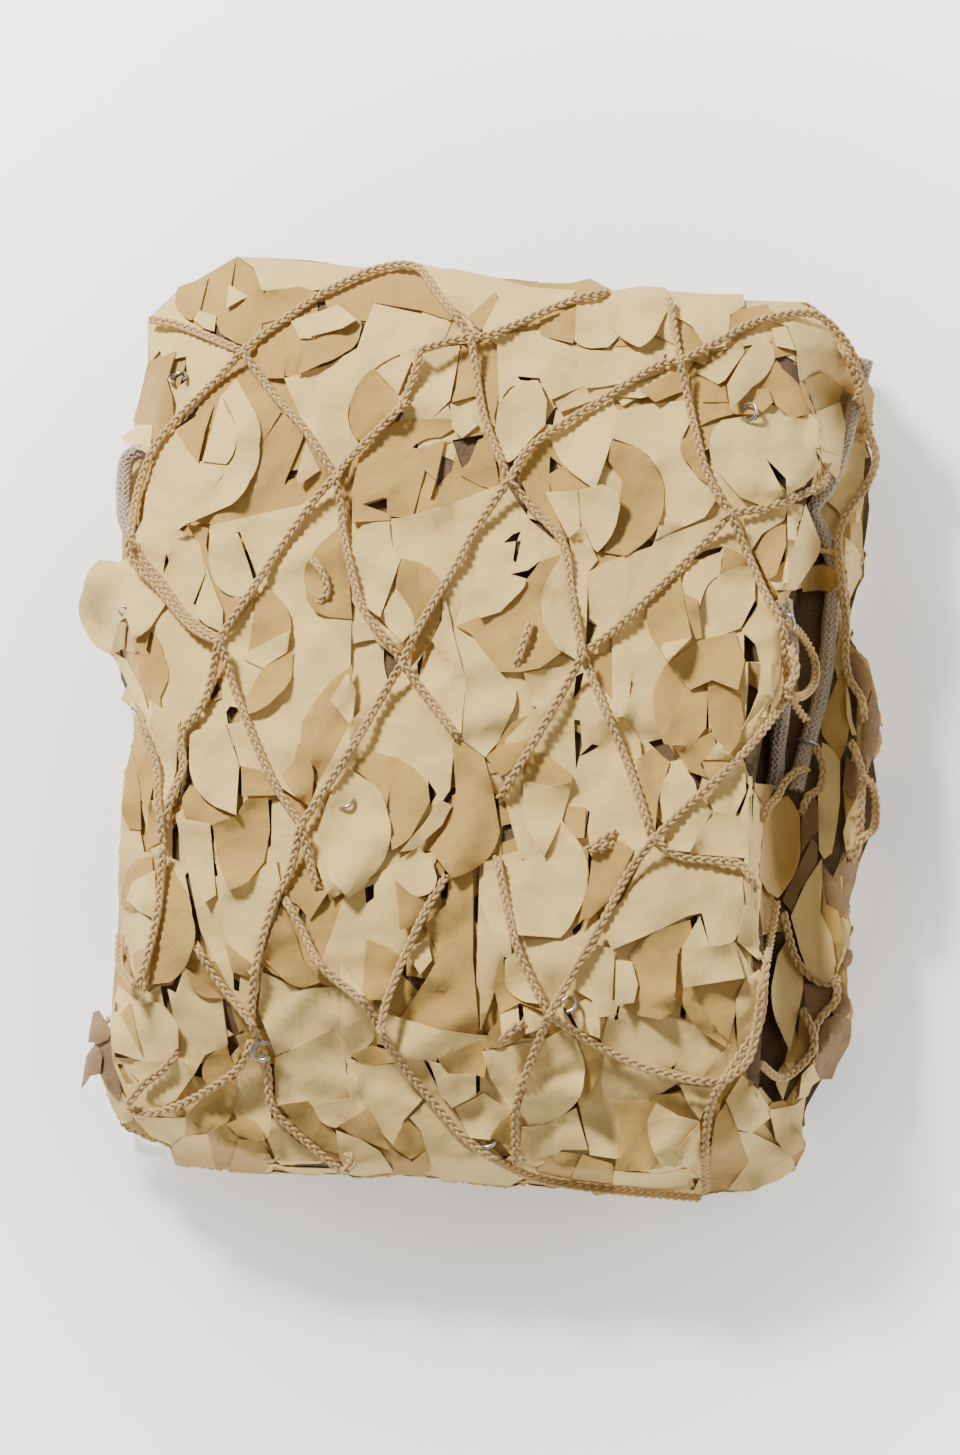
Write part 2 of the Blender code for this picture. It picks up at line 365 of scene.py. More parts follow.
class Bed:
    def __init__(self, axes, aim, aimPixel, size, deepest, fullness, distance=1e6):
        self.right, self.up, self.back = axes
        self.aim, self.aimPixel = Vector(aim), aimPixel
        self.size, self.distance, self.cell = size, distance, bedding["cell"]
        self.deepest, self.fullness = deepest, fullness

    def place(self, x, y, height):
        aside = self.right * (x - self.aimPixel[0]) - self.up * (y - self.aimPixel[1])
        return self.aim + self.back * height + aside * pixel * (1 - height / self.distance)

    def survey(self, surface, low, high, bareFaces=None, bridge=0):
        columns, rows = (int(span / self.cell) + 2 for span in self.size)
        empty = low * 2
        heights = np.full((rows, columns), empty)
        self.bare = np.zeros((rows, columns), dtype=bool)
        for row in range(rows):
            for column in range(columns):
                start = self.place(column * self.cell, row * self.cell, high)
                end = self.place(column * self.cell, row * self.cell, low)
                spot, _, face, _ = surface.ray_cast(start, end - start, (end - start).length)
                if spot is not None:
                    heights[row, column] = (spot - self.aim).dot(self.back)
                    self.bare[row, column] = bareFaces is None or face < bareFaces
        missing = heights == empty
        self.solid = ~missing
        for _ in range(bridge):           # gaps between runs are bridged
            self.solid |= neighbours(self.solid).any(axis=0)
        for _ in range(bridge):
            self.solid &= neighbours(self.solid).all(axis=0)
        self.bare |= missing & self.solid
        for k in range(max(bedding["skirt"], bridge)):
            best = np.maximum(heights, np.max(neighbours(heights), axis=0) - bedding["fall"])
            heights = np.where(missing if k >= bridge else missing | self.solid, best, heights)
        self.heights = heights
        self.roof = np.zeros(heights.shape, dtype=bool)
        self.ceiling = np.full(heights.shape, high)

    def seen(self, points):               # pixels and height of points in space
        away = points - np.array(self.aim)
        height = away @ np.array(self.back)
        scale = pixel * (1 - height / self.distance)
        return (self.aimPixel[0] + away @ np.array(self.right) / scale,
                self.aimPixel[1] - away @ np.array(self.up) / scale, height)

    def keepUnder(self, cover):           # cloth goes only where the cover's cloth hides it
        rows, columns = self.heights.shape
        across, down = np.meshgrid(np.arange(columns) * self.cell, np.arange(rows) * self.cell)
        self.ceiling[:] = bedding["noRoom"]
        low, high = bedding["probe"]
        for k in range(bedding["probes"]):
            height = low + (high - low) * k / (bedding["probes"] - 1)
            aside = (across - self.aimPixel[0]) * pixel, (self.aimPixel[1] - down) * pixel
            points = (np.array(self.aim) + height * np.array(self.back)
                      + aside[0][..., None] * np.array(self.right) + aside[1][..., None] * np.array(self.up))
            x, y, level = cover.seen(points)
            column = np.clip((x / cover.cell).astype(int), 0, cover.heights.shape[1] - 1)
            row = np.clip((y / cover.cell).astype(int), 0, cover.heights.shape[0] - 1)
            hidden = cover.roof[row, column] & (level < cover.heights[row, column] - bedding["slack"])
            self.ceiling = np.where(hidden & (points[..., 2] < bedding["highest"]), height, self.ceiling)

    def window(self, points, margin):     # the cells round some pixels
        first, last = [], []
        for axis, count in enumerate(reversed(self.heights.shape)):
            spots = [point[axis] for point in points]
            first.append(min(max(int((min(spots) - margin) / self.cell), 0), count - 4))
            last.append(max(min(int((max(spots) + margin) / self.cell) + 2, count), first[axis] + 3))
        across, down = np.meshgrid(*(np.arange(*ends) * self.cell for ends in zip(first, last)))
        return (slice(first[1], last[1]), slice(first[0], last[0])), across, down

    def clear(self, grid, outlines):      # takes the cells in some outlines out of a grid
        for outline in outlines:
            where, across, down = self.window(outline, 0)
            grid[where] &= ~inside(outline, across, down)


def neighbours(grid):
    padded = np.pad(grid, 1, mode="edge")
    return np.stack([padded[1:-1, :-2], padded[1:-1, 2:], padded[:-2, 1:-1], padded[2:, 1:-1]])


def inside(outline, across, down):
    crossed = np.zeros(across.shape, dtype=bool)
    for (ax, ay), (bx, by) in zip(outline, (*outline[1:], outline[0])):
        if ay == by:
            continue
        level = (ay > down) != (by > down)
        crossed ^= level & (across < (bx - ax) * (down - ay) / (by - ay) + ax)
    return crossed


def pairs(flat):
    return list(zip(flat[::2], flat[1::2]))


def holds(outline, x, y):
    return inside(outline, np.array([[x]]), np.array([[y]]))[0, 0]


def readGrid(grid, corner, cell, x, y):
    column = min(max(x / cell - corner[1], 0), grid.shape[1] - 1.001)
    row = min(max(y / cell - corner[0], 0), grid.shape[0] - 1.001)
    c, r = int(column), int(row)
    s, t = column - c, row - r
    top = grid[r, c] * (1 - s) + grid[r, c + 1] * s
    bottom = grid[r + 1, c] * (1 - s) + grid[r + 1, c + 1] * s
    return top * (1 - t) + bottom * t


def turnOf(points):
    return sum(a[0] * b[1] - b[0] * a[1] for a, b in zip(points, points[1:] + points[:1])) / 2


def bowed(corners, step=5.5):   # an outline whose bowed edges are arcs
    points = [(corner[0], corner[1]) for corner in corners]
    way = 1 if turnOf(points) > 0 else -1
    outline = []
    for corner, start, end in zip(corners, points, points[1:] + points[:1]):
        outline.append(start)
        chord = (end[0] - start[0], end[1] - start[1])
        if len(corner) < 3 or corner[2] == 0:
            continue
        bow = corner[2] * way
        half = 2 * math.atan(2 * abs(corner[2]))
        count = max(round(math.hypot(*chord) * half / math.sin(half) / step), 2)
        for k in range(1, count):
            angle = half * (2 * k / count - 1)
            t = 0.5 + math.sin(angle) / (2 * math.sin(half))
            out = (math.cos(angle) - math.cos(half)) / (2 * math.sin(half)) * math.copysign(1, bow)
            outline.append((start[0] + chord[0] * t + chord[1] * out,
                            start[1] + chord[1] * t - chord[0] * out))
    return outline


garnish = {
    "gap": 0.0009,            # metres between one leaf and what it lies on
    "rimGap": 0.0006,
    "steepest": 3,            # slope from which the gap grows no more
    "margin": 8,              # pixels round a leaf that it is settled with
    "thickness": 0.00035,
    "grain": 7.0,             # pixels from vertex to vertex
    "settle": 22,             # how taut a leaf lies: rounds of smoothing
    "curl": 1.7,              # how late a lifted leaf rises, going out from its first edge
    "flutter": 0.0011,        # how far a leaf waves up and down
    "flutterMore": 0.4,       # the share more for each mm that it lifts
    "waveLength": (7, 14),    # pixels for a radian
    "creaseWidth": (5.0, 13.0),           # pixels
    "creaseRise": (0.0010, 0.0028),
    "creaseStray": 0.3,       # of the leaf's span, from one of its corners
    "creaseLength": (0.5, 8), # of the span, and pixels more
    "creaseFull": 60,         # leaves smaller than this many pixels have lower creases
    "creaseEvery": 45,        # a leaf this many pixels across gets one crease more
    "creases": 5,             # at most
    "mostWorn": 0.55,
    "lowest": 0.0007,
    "waste": 1.1,             # the flat sheet's side over that of the leaves cut from it
    "sharp": 50,              # degrees
}


# The finish of a leaf's face is followed by that of its reverse
# the painted-shade tan's reverse is the plies' painted shade
clothFinishes = (sand, tan, sand, paintedShadeTan, paintedShadePlies)


def openSlit(cut, slit, outline):
    corners = pairs(slit)
    if not holds(outline, *(sum(c[k] for c in corners) / len(corners) for k in (0, 1))):
        return
    low, high = ([end(c[k] for c in corners) for k in (0, 1)] for end in (min, max))
    for start, end in zip(corners, corners[1:] + corners[:1]):
        near = [f for f in cut.faces if all(max(v.co[k] for v in f.verts) > low[k] - 1
                                            and min(v.co[k] for v in f.verts) < high[k] + 1 for k in (0, 1))]
        parts = set(near)
        for face in near:
            parts.update(face.edges)
            parts.update(face.verts)
        bmesh.ops.bisect_plane(cut, geom=list(parts), dist=0.02, plane_co=(*start, 0),
                               plane_no=(end[1] - start[1], start[0] - end[0], 0))
    gone = [f for f in cut.faces if holds(corners, *f.calc_center_median().xy)]
    bmesh.ops.delete(cut, geom=gone, context="FACES")


class Cloth:                  # many leaves that become one piece
    def __init__(self, name, grain=1.0):
        self.name = name
        self.grain = garnish["grain"] * grain
        self.mesh = bmesh.new()
        self.mesh.loops.layers.uv.new("cut")
        self.mesh.verts.layers.float.new("shade")
        self.area = 0.0

    def leaf(self, bed, face, lift, corners, chance, slits=(), gap=garnish["gap"]):
        outline = bowed(corners)
        where, across, down = bed.window(outline, garnish["margin"])
        covered = inside(outline, across, down)
        slope = np.hypot(*np.gradient(bed.heights[where])) / (bed.cell * pixel)
        ground = bed.heights[where] + gap * np.sqrt(1 + np.minimum(slope, garnish["steepest"]) ** 2)
        sheet = ground.copy()
        for _ in range(garnish["settle"]):
            near = neighbours(sheet).mean(axis=0)
            sheet = np.where(covered, np.maximum(ground, near), near)
        sheet = self.lifted(sheet, lift, outline, corners[1], across, down, chance)
        sheet = self.creased(sheet, outline, across, down, chance)
        sheet = np.where(covered, np.maximum(ground, sheet), sheet)
        roof = bed.ceiling[where]
        sheet = np.where(roof > bedding["noRoom"], np.minimum(sheet, np.maximum(roof, ground)), sheet)
        bed.heights[where] = np.where(covered, sheet, bed.heights[where])
        bed.roof[where] |= covered
        self.append(bed, face, outline, sheet, where, chance, slits if lift <= 1 else ())

    def lifted(self, sheet, lift, outline, second, across, down, chance):
        ax, ay = outline[0]
        dx, dy = second[0] - ax, second[1] - ay
        length = math.hypot(dx, dy)
        reach = abs((across - ax) * dy - (down - ay) * dx) / length
        far = max(abs((x - ax) * dy - (y - ay) * dx) / length for x, y in outline)
        free = np.clip(reach / far, 0, 1)
        way, phase = chance.uniform(0, math.pi), chance.uniform(0, 2 * math.pi)
        along = across * math.cos(way) + down * math.sin(way)
        wave = np.sin(along / chance.uniform(*garnish["waveLength"]) + phase)
        flutter = garnish["flutter"] * (1 + lift * garnish["flutterMore"])
        return sheet + lift * 0.001 * free ** garnish["curl"] + flutter * wave * free

    def creased(self, sheet, outline, across, down, chance):
        span = math.sqrt(abs(turnOf(outline)))
        stray = garnish["creaseStray"]
        share, more = garnish["creaseLength"]
        for _ in range(min(1 + int(span / garnish["creaseEvery"]), garnish["creases"])):
            cx, cy = chance.choice(outline)
            cx, cy = cx + chance.gauss(0, stray) * span, cy + chance.gauss(0, stray) * span
            way, width = chance.uniform(0, math.pi), chance.uniform(*garnish["creaseWidth"])
            off = (across - cx) * math.sin(way) - (down - cy) * math.cos(way)
            along = (across - cx) * math.cos(way) + (down - cy) * math.sin(way)
            ridge = np.exp(-abs(off) / width - (along / (share * span + more)) ** 2)
            rise = chance.uniform(*garnish["creaseRise"]) * min(span / garnish["creaseFull"], 1)
            sheet = sheet + rise * ridge
        return sheet

    def append(self, bed, face, outline, sheet, where, chance, slits):
        cut = bmesh.new()
        uv = cut.loops.layers.uv.new("cut")
        shade = cut.verts.layers.float.new("shade")
        cut.faces.new([cut.verts.new((x, y, 0)) for x, y in outline])
        cut.normal_update()
        if cut.faces[:][0].normal.z > 0:
            bmesh.ops.reverse_faces(cut, faces=cut.faces[:])
        for axis, normal in enumerate(((1, 0, 0), (0, 1, 0))):
            low, high = min(p[axis] for p in outline), max(p[axis] for p in outline)
            steps = max(round((high - low) / self.grain), 1)
            for k in range(1, steps):
                at = low + (high - low) * k / steps
                bmesh.ops.bisect_plane(cut, geom=cut.verts[:] + cut.edges[:] + cut.faces[:], dist=0.05,
                                       plane_co=(at, at, 0), plane_no=normal)
        for slit in slits:
            openSlit(cut, slit, outline)
        bmesh.ops.triangulate(cut, faces=[f for f in cut.faces if len(f.verts) > 4])
        turn, worn = chance.uniform(0, 2 * math.pi), chance.uniform(0.0, garnish["mostWorn"])
        c, s = math.cos(turn) * pixel, math.sin(turn) * pixel
        for part in cut.faces:
            part.smooth = True
            part.material_index = clothFinishes.index(face)
            for loop in part.loops:
                x, y = loop.vert.co.xy
                loop[uv].uv = (c * x - s * y, s * x + c * y)
        corner = (where[0].start, where[1].start)
        for vert in cut.verts:
            x, y = vert.co.xy
            vert[shade] = worn
            vert.co = bed.place(x, y, readGrid(sheet, corner, bed.cell, x, y))
            vert.co.z = max(vert.co.z, garnish["lowest"])
        self.area += sum(part.calc_area() for part in cut.faces)
        data = bpy.data.meshes.new("cut")
        cut.to_mesh(data)
        cut.free()
        self.mesh.from_mesh(data)
        bpy.data.meshes.remove(data)

    def finish(self):
        piece = walled(self.name, self.mesh, clothFinishes, garnish["thickness"], offset=-1, reverse=1)
        piece.data.set_sharp_from_angle(angle=math.radians(garnish["sharp"]))
        print(self.name, "laid,", len(piece.data.polygons), "faces,", round(self.area, 3), "square metres")
        return piece


# The folded strip: the plies of net under the garnish that shows, as one sheet folded into runs

strip = {
    "runThickness": 0.0145,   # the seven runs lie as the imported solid's do
    "runPitch": 0.017,
    "startReach": 0.214,
    "cornerRounding": 0.12,
    "farSlant": 0.055,
    "farInset": 0.006,
    "foldOut": 0.003,         # how far a turn reaches past a half circle
    "foldWave": (0.004, 38, 75),          # size, and how often along it and up
    "edgeWave": (0.003, 47, 130),
    "ends": (0.15, 0.20),     # where the turns' wave and slant come up to their full size
    "lump": 0.018,
    "ripple": 0.010,
    "tuckFade": (0.168, 0.203),
    "inset": 0.004,           # how far its edges lie inside the solid's
    "flat": (0.352, 3.17),
    "thickness": 0.0012,
    "crumple": 0.0016,
    # the plies' share of their darker tone; like both their tones, painted shade
    "worn": 0.5,
    "lowest": 0.0025,
    "steps": (26, 8, 30),     # along a run, round a turn and across
}
# One row for each run, from the bottom up. tuckLeft, tuckRight: how far its edges are set back.
# edge: the halfWidths column that its right edge follows.
Run = namedtuple("Run", "reach tuckLeft tuckRight edge")
runs = (
    Run(0.212, 0.008, 0.006, 3), Run(0.224, 0.003, 0.000, 3), Run(0.216, 0.006, 0.004, 3),
    Run(0.2255, 0.002, 0.001, 3), Run(0.2218, 0.000, 0.034, 2), Run(0.226, 0.028, 0.003, 2),
    Run(0.216, 0.010, 0.000, 2),
)
# The pack's half widths: station along it, to the left, upper right, lower right
halfWidths = (
    (-0.225, 0.150, 0.140, 0.150), (-0.190, 0.160, 0.147, 0.160), (-0.140, 0.166, 0.144, 0.178),
    (-0.080, 0.168, 0.142, 0.181), (-0.030, 0.169, 0.140, 0.189), (0.020, 0.185, 0.145, 0.187),
    (0.060, 0.189, 0.154, 0.175), (0.100, 0.186, 0.157, 0.178), (0.140, 0.186, 0.161, 0.184),
    (0.180, 0.178, 0.152, 0.178), (0.220, 0.162, 0.138, 0.158),
)
# How the pack sinks towards its sides: the share lost, and where the sinking starts and ends
sags = {"near": (0.36, 0.130, 0.240), "far": (0.14, 0.165, 0.235), "left": (0.20, 0.115, 0.195),
        "right": (0.12, 0.105, 0.195)}


def eased(value, start, end):
    t = min(max((value - start) / (end - start), 0.0), 1.0)
    return t * t * (3 - 2 * t)


def halfWidth(along, column):
    for near, far in zip(halfWidths, halfWidths[1:]):
        if along <= far[0]:
            t = eased(along, near[0], far[0])
            return near[column] * (1 - t) + far[column] * t
    return halfWidths[-1][column]


def keptHeight(x, y):         # the share of its height that the stack keeps at a place
    outward = {"near": -y, "far": y, "left": -x, "right": x}
    sunk = sum(share * eased(outward[side], start, end) for side, (share, start, end) in sags.items())
    lumps = strip["lump"] * math.sin(31 * x + 1.1) * math.cos(27 * y - 0.6)
    return 1 - sunk + (lumps + strip["ripple"] * math.sin(53 * x - 41 * y))


def packed(u, along, height):   # where a point of the straight stack lies in the pack
    run = runs[min(int(height / strip["runPitch"]), len(runs) - 1)]
    across = 2 * u - 1
    y = along * (1 - strip["cornerRounding"] * abs(across) ** 5)
    tuck = 1 - eased(abs(y), *strip["tuckFade"])
    left = halfWidth(y, 1) - run.tuckLeft * tuck - strip["inset"]
    right = halfWidth(y, run.edge) - run.tuckRight * tuck - strip["inset"]
    size, often, oftenUp = strip["edgeWave"]
    x = right * u - left * (1 - u) + size * math.sin(often * y + oftenUp * height) * across ** 4
    size, often, oftenUp = strip["foldWave"]
    y += size * math.sin(often * x + oftenUp * height) * eased(abs(y), *strip["ends"])
    y -= (strip["farSlant"] * x + strip["farInset"]) * eased(y, 0.0, strip["ends"][1])
    return Vector((x, y, height * keptHeight(x, y)))


def stripSection():
    half, pitch = strip["runThickness"] / 2, strip["runPitch"]
    steps, foldSteps, _ = strip["steps"]
    points, start = [], -strip["startReach"]
    for number, run in enumerate(runs):
        heading = 1 if number % 2 == 0 else -1
        height = half + number * pitch
        last = number == len(runs) - 1
        turn = heading * (run.reach - (strip["inset"] if last else pitch / 2 + half))
        points += [(start + (turn - start) * k / steps, height) for k in range(steps)]
        start = turn
        if last:
            return points + [(turn, height)]
        for k in range(foldSteps):
            angle = math.pi * k / foldSteps - math.pi / 2
            points.append((turn + heading * (pitch / 2 + strip["foldOut"]) * math.cos(angle),
                           height + pitch / 2 * (1 + math.sin(angle))))


def foldedStrip():
    mesh = bmesh.new()
    uv = mesh.loops.layers.uv.new("cut")
    shade = mesh.verts.layers.float.new("shade")
    row = [mesh.verts.new((0, along, height)) for along, height in stripSection()]
    edges = [mesh.edges.new(pair) for pair in zip(row, row[1:])]
    across = strip["steps"][2]
    for _ in range(across):
        grown = bmesh.ops.extrude_edge_only(mesh, edges=edges)["geom"]
        edges = [item for item in grown if isinstance(item, bmesh.types.BMEdge)]
        moved = [item for item in grown if isinstance(item, bmesh.types.BMVert)]
        bmesh.ops.translate(mesh, vec=(1 / across, 0, 0), verts=moved)
    for face in mesh.faces:
        face.smooth = True
        for loop in face.loops:
            loop[uv].uv = (loop.vert.co.x * strip["flat"][0], loop.vert.co.y)
    for vert in mesh.verts:
        u, along, height = vert.co
        place = packed(min(max(u, 0), 1), along, height)
        crumple = math.sin(place.x * 143 + place.y * 61)
        crumple *= math.sin(place.y * 117 - place.x * 39 + height * 90)
        vert[shade] = strip["worn"]
        vert.co = place + Vector((0, 0, strip["crumple"] * crumple))
        vert.co.z = max(vert.co.z, strip["lowest"])
    # its finish is the plies' painted shade
    piece = walled("folded_strip", mesh, [paintedShadePlies], strip["thickness"], offset=0)
    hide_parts("folded_net")
    return piece


core = foldedStrip()
print("strip folded")


def surfaceOf(*pieces):
    joined = bmesh.new()
    for piece in pieces:
        joined.from_mesh(piece.data)
    tree = BVHTree.FromBMesh(joined)
    joined.free()
    return tree


top = Bed(viewAxes(mainView), mainView["aim"], mainView["aimPixel"], mainView["size"],
          deepest=-0.2, fullness=0.985, distance=mainView["distance"])
top.survey(surfaceOf(core), *bedding["topReach"])
print("top surveyed")


# Net cords, each plaited from three yarns, and border ropes, each braided from many. They lie over
# whatever cloth is under them.

cord = {
    "sway": 0.00130,          # how far a yarn swings to each side of the middle
    "rise": 0.00075,
    "yarn": 0.00090,          # a yarn's radius
    "plait": 0.0130,          # length of one yarn's full swing
    "step": 0.00115,
    "settle": 60,
    "feel": 4.2,              # pixels to each side within which it rests on the cloth
    "print": 5.2,             # and within which what comes later rests on it
    "dive": (16.0, 0.0045),   # pixels over which a loose end sinks into the cloth, and how deep
    "under": 0.001,           # how far it stays below a ceiling
}
rope = {
    "strands": 16,            # half of them wind each way
    "centre": 0.0030,         # how far a strand's middle lies from the rope's
    "yarn": 0.00078,
    "over": 0.00045,          # how far a strand rises where it passes over another
    "turn": 0.026,            # length of one strand's full turn
    "step": 0.0015,
    "settle": 120,
    "darkEvery": 4,           # one strand in this many is dark
    # the filling cores take the dark finish: painted shade in the pits between the strands
    "filling": (0.0012, (0.8, 2.9, 5.0)),   # three cores that close the gaps: how far out, and where
}
trackStep = 4.0               # pixels
knotSteps = 10                # points from knot to knot, before they are spaced evenly


def evenly(points, spacing):
    length = sum((q - p).length for p, q in zip(points, points[1:]))
    count = max(round(length / spacing), 1)
    chosen, walked, k = [points[0]], 0.0, 1
    for p, q in zip(points, points[1:]):
        reach = (q - p).length
        while k <= count and walked + reach >= length * k / count - 1e-9:
            chosen.append(p.lerp(q, (length * k / count - walked) / reach if reach else 0))
            k += 1
        walked += reach
    return chosen


def trackOf(route):           # a smooth line through a route's knots
    knots = [Vector((x, y, 0)) for x, y in route]
    padded = [2 * knots[0] - knots[1]] + knots + [2 * knots[-1] - knots[-2]]
    fine = []
    for a, b, c, d in zip(padded, padded[1:], padded[2:], padded[3:]):
        for step in range(knotSteps):
            t = step / knotSteps
            fine.append(0.5 * (2 * b + (c - a) * t + (2 * a - 5 * b + 4 * c - d) * t ** 2
                               + (3 * b - a - 3 * c + d) * t ** 3))
    return evenly(fine + [knots[-1]], trackStep)


def rested(ground, rounds):   # the heights of a taut cord that rests on the ground
    line = ground.copy()
    for _ in range(rounds):
        near = (np.concatenate((line[:1], line[:-1])) + np.concatenate((line[1:], line[-1:]))) / 2
        line = np.maximum(ground, near)
    return line


def levelAt(bed, spot):
    return readGrid(bed.heights, (0, 0), bed.cell, spot.x, spot.y)


def stamp(bed, track, line, halfWidth, rise):   # what comes next rests on the cord too
    for point, height in zip(track, line):
        where, across, down = bed.window([point], halfWidth)
        away = np.hypot(across - point.x, down - point.y) / halfWidth
        crown = height - rise + 2 * rise * np.sqrt(np.clip(1 - away ** 2, 0, 1))
        bed.heights[where] = np.where(away < 1, np.maximum(bed.heights[where], crown), bed.heights[where])


class Yarns:                  # cords that become one piece
    def __init__(self, name, finishes, radius, step):
        self.name, self.finishes, self.step = name, finishes, step
        self.curve = newCurve(name, radius, roundness=1)
        self.length = 0.0

    def walk(self, path):     # each point with the way the path runs there and how far it has come
        path, walked = evenly(path, self.step), 0.0
        for k, point in enumerate(path):
            before, after = path[max(k - 1, 0)], path[min(k + 1, len(path) - 1)]
            walked += (point - before).length
            yield point, after - before, walked
        self.length += walked

    def plait(self, path, normal, phase):
        strands = [[], [], []]
        for point, along, walked in self.walk(path):
            side = along.cross(normal).normalized()
            out = side.cross(along).normalized()
            for strand, points in enumerate(strands):
                angle = 2 * math.pi * (walked / cord["plait"] + strand / 3) + phase
                points.append(point + side * cord["sway"] * math.sin(angle)
                              + out * cord["rise"] * math.sin(2 * angle))
        for points in strands:
            addLine(self.curve, points)

    def braid(self, path):
        strands = [[] for _ in range(rope["strands"])]
        for point, along, walked in self.walk(path):
            along = along.normalized()
            side = along.cross(Vector((0, 0, 1))).normalized()
            wound = 2 * math.pi * walked / rope["turn"]
            for strand, points in enumerate(strands):
                way = 1 if strand % 2 == 0 else -1
                angle = way * wound + 2 * math.pi * (strand // 2) * 2 / rope["strands"]
                swell = rope["centre"] + rope["over"] * way * math.sin(rope["strands"] / 2 * wound)
                points.append(point + swell * (side * math.cos(angle) + side.cross(along) * math.sin(angle)))
        for strand, points in enumerate(strands):
            addLine(self.curve, points, 1 if strand % rope["darkEvery"] == 1 else 0)
        # the cores are dark as painted shade in the pits; one strand in every few is really dark
        out, angles = rope["filling"]
        for angle in angles:
            aside = Vector((out * math.cos(angle), 0, out * math.sin(angle)))
            addLine(self.curve, [point + aside for point in evenly(path, self.step)], 1)

    def piece(self, slot):
        piece = curvePiece(self.name, self.curve, self.finishes)
        print(self.name, "made,", round(self.length, 2), "m,", len(piece.data.polygons), "faces")
        return piece


def layCord(yarns, bed, route, settle=cord["settle"], loose=()):
    track = trackOf(route)
    ground = []
    for before, point, after in zip(track[:1] + track, track, track[1:] + track[-1:]):
        side = Vector((after.y - before.y, before.x - after.x, 0)).normalized() * cord["feel"]
        ground.append(max(levelAt(bed, spot) for spot in (point, point + side, point - side)))
    radius = cord["rise"] + cord["yarn"]
    line = rested(np.array(ground) + radius, settle)
    if bed.ceiling.min() == bedding["noRoom"]:
        roof = np.array([bed.ceiling[int(point.y / bed.cell), int(point.x / bed.cell)] for point in track])
        line = np.minimum(line, roof - cord["under"])
    for end in loose:
        away = np.array([(point - track[end]).length for point in track])
        line = line - cord["dive"][1] * np.clip(1 - away / cord["dive"][0], 0, 1) ** 2
    path = [bed.place(point.x, point.y, height) for point, height in zip(track, line)]
    for spot in path:
        spot.z = max(spot.z, radius)
    yarns.plait(path, bed.back, route[0][0])
    stamp(bed, track, line, cord["print"], radius)


def layRope(name, bed, route):
    yarns = Yarns(name, [ropeYarn, ropeDark], rope["yarn"], rope["step"])
    radius = rope["centre"] + rope["yarn"]
    track = trackOf(route)
    line = rested(np.array([levelAt(bed, spot) for spot in track]) + radius, rope["settle"])
    path = [bed.place(point.x, point.y, height) for point, height in zip(track, line)]
    yarns.braid(path)
    stamp(bed, track, line, radius / pixel, radius)
    return yarns.piece("border_rope"), path


# Wire clips: where each shows, how far it is tipped up, where its gap is, which way its axis
# leans and how much it sits above the cloth
clips = {
    "radius": 0.0042,
    "ropeRadius": 0.00483,    # of the one that grips the rope
    "ropeSpot": (813, 740, -0.02),
    "wire": 0.00085,
    "gap": 70,                # degrees of the ring that are open
    "steps": 40,
}
Clip = namedtuple("Clip", "name spot tipped opening lean rise")
clipRows = (
    Clip("01", (178, 377), 58, 100, 20, 0.0002), Clip("02", (125, 612), 62, 20, 150, -0.0020),
    Clip("03", (749, 412), 40, 250, 70, 0.0006), Clip("04", (346, 803), 66, 300, 30, -0.0022),
    Clip("05", (788, 622), 60, 200, 110, -0.0008), Clip("06", (262, 1051), 12, 60, 60, 0.0022),
    Clip("07", (568, 1005), 50, 150, 30, 0.0000), Clip("08", (488, 1141), 58, 330, 20, -0.0004),
)


def wireRing(number, centre, right, up, opening, radius=clips["radius"]):
    sweep = math.radians(360 - clips["gap"])
    points = []
    for k in range(clips["steps"] + 1):
        angle = math.radians(opening + clips["gap"] / 2) + sweep * k / clips["steps"]
        points.append(centre + radius * (right * math.cos(angle) + up * math.sin(angle)))
    curve = newCurve("wire_clip_" + number, clips["wire"], roundness=3)
    addLine(curve, points)
    piece = curvePiece("wire_clip_" + number, curve, [steel])
    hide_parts("clip_" + number)


def layClip(bed, clip):
    x, y = clip.spot
    height = readGrid(bed.heights, (0, 0), bed.cell, x, y) + clips["wire"] + clip.rise
    lean, tipped = math.radians(clip.lean), math.radians(clip.tipped)
    axis = bed.right * math.cos(lean) + bed.up * math.sin(lean)
    up = axis.cross(bed.back) * math.cos(tipped) + bed.back * math.sin(tipped)
    wireRing(clip.name, bed.place(x, y, height), axis, up, clip.opening)


def gripRope(bed, path):
    spot = bed.place(*clips["ropeSpot"])
    nearest = min(range(2, len(path) - 2), key=lambda k: (path[k] - spot).length)
    along = (path[nearest + 1] - path[nearest - 1]).normalized()
    side = along.cross(bed.back).normalized()
    wireRing("09", path[nearest], side, side.cross(along), -90, clips["ropeRadius"])


# Strewing leaves of the same cut over what is still bare. A form's corners are pixels from its
# root, with bows as the tables below have them.

leafForms = {
    "web": ((-62, -8), (55, -18), (72, 26, -.1), (34, 62, -.08), (-35, 58, -.12), (-76, 26)),
    "lobe": ((-46, 0), (46, 0), (36, 34, .1), (-2, 50, .1), (-38, 32, .1)),
    "petal": ((-9, 0), (9, 0), (25, 40, .14), (0, 84, .14), (-23, 44, .12)),
    "crescent": ((-10, 0), (12, -5), (36, 32, .12), (36, 66, .1), (10, 92), (13, 62, -.15), (4, 28, -.1)),
    "strip": ((-12, 0), (12, 0), (17, 46), (4, 88), (-12, 54)),
}
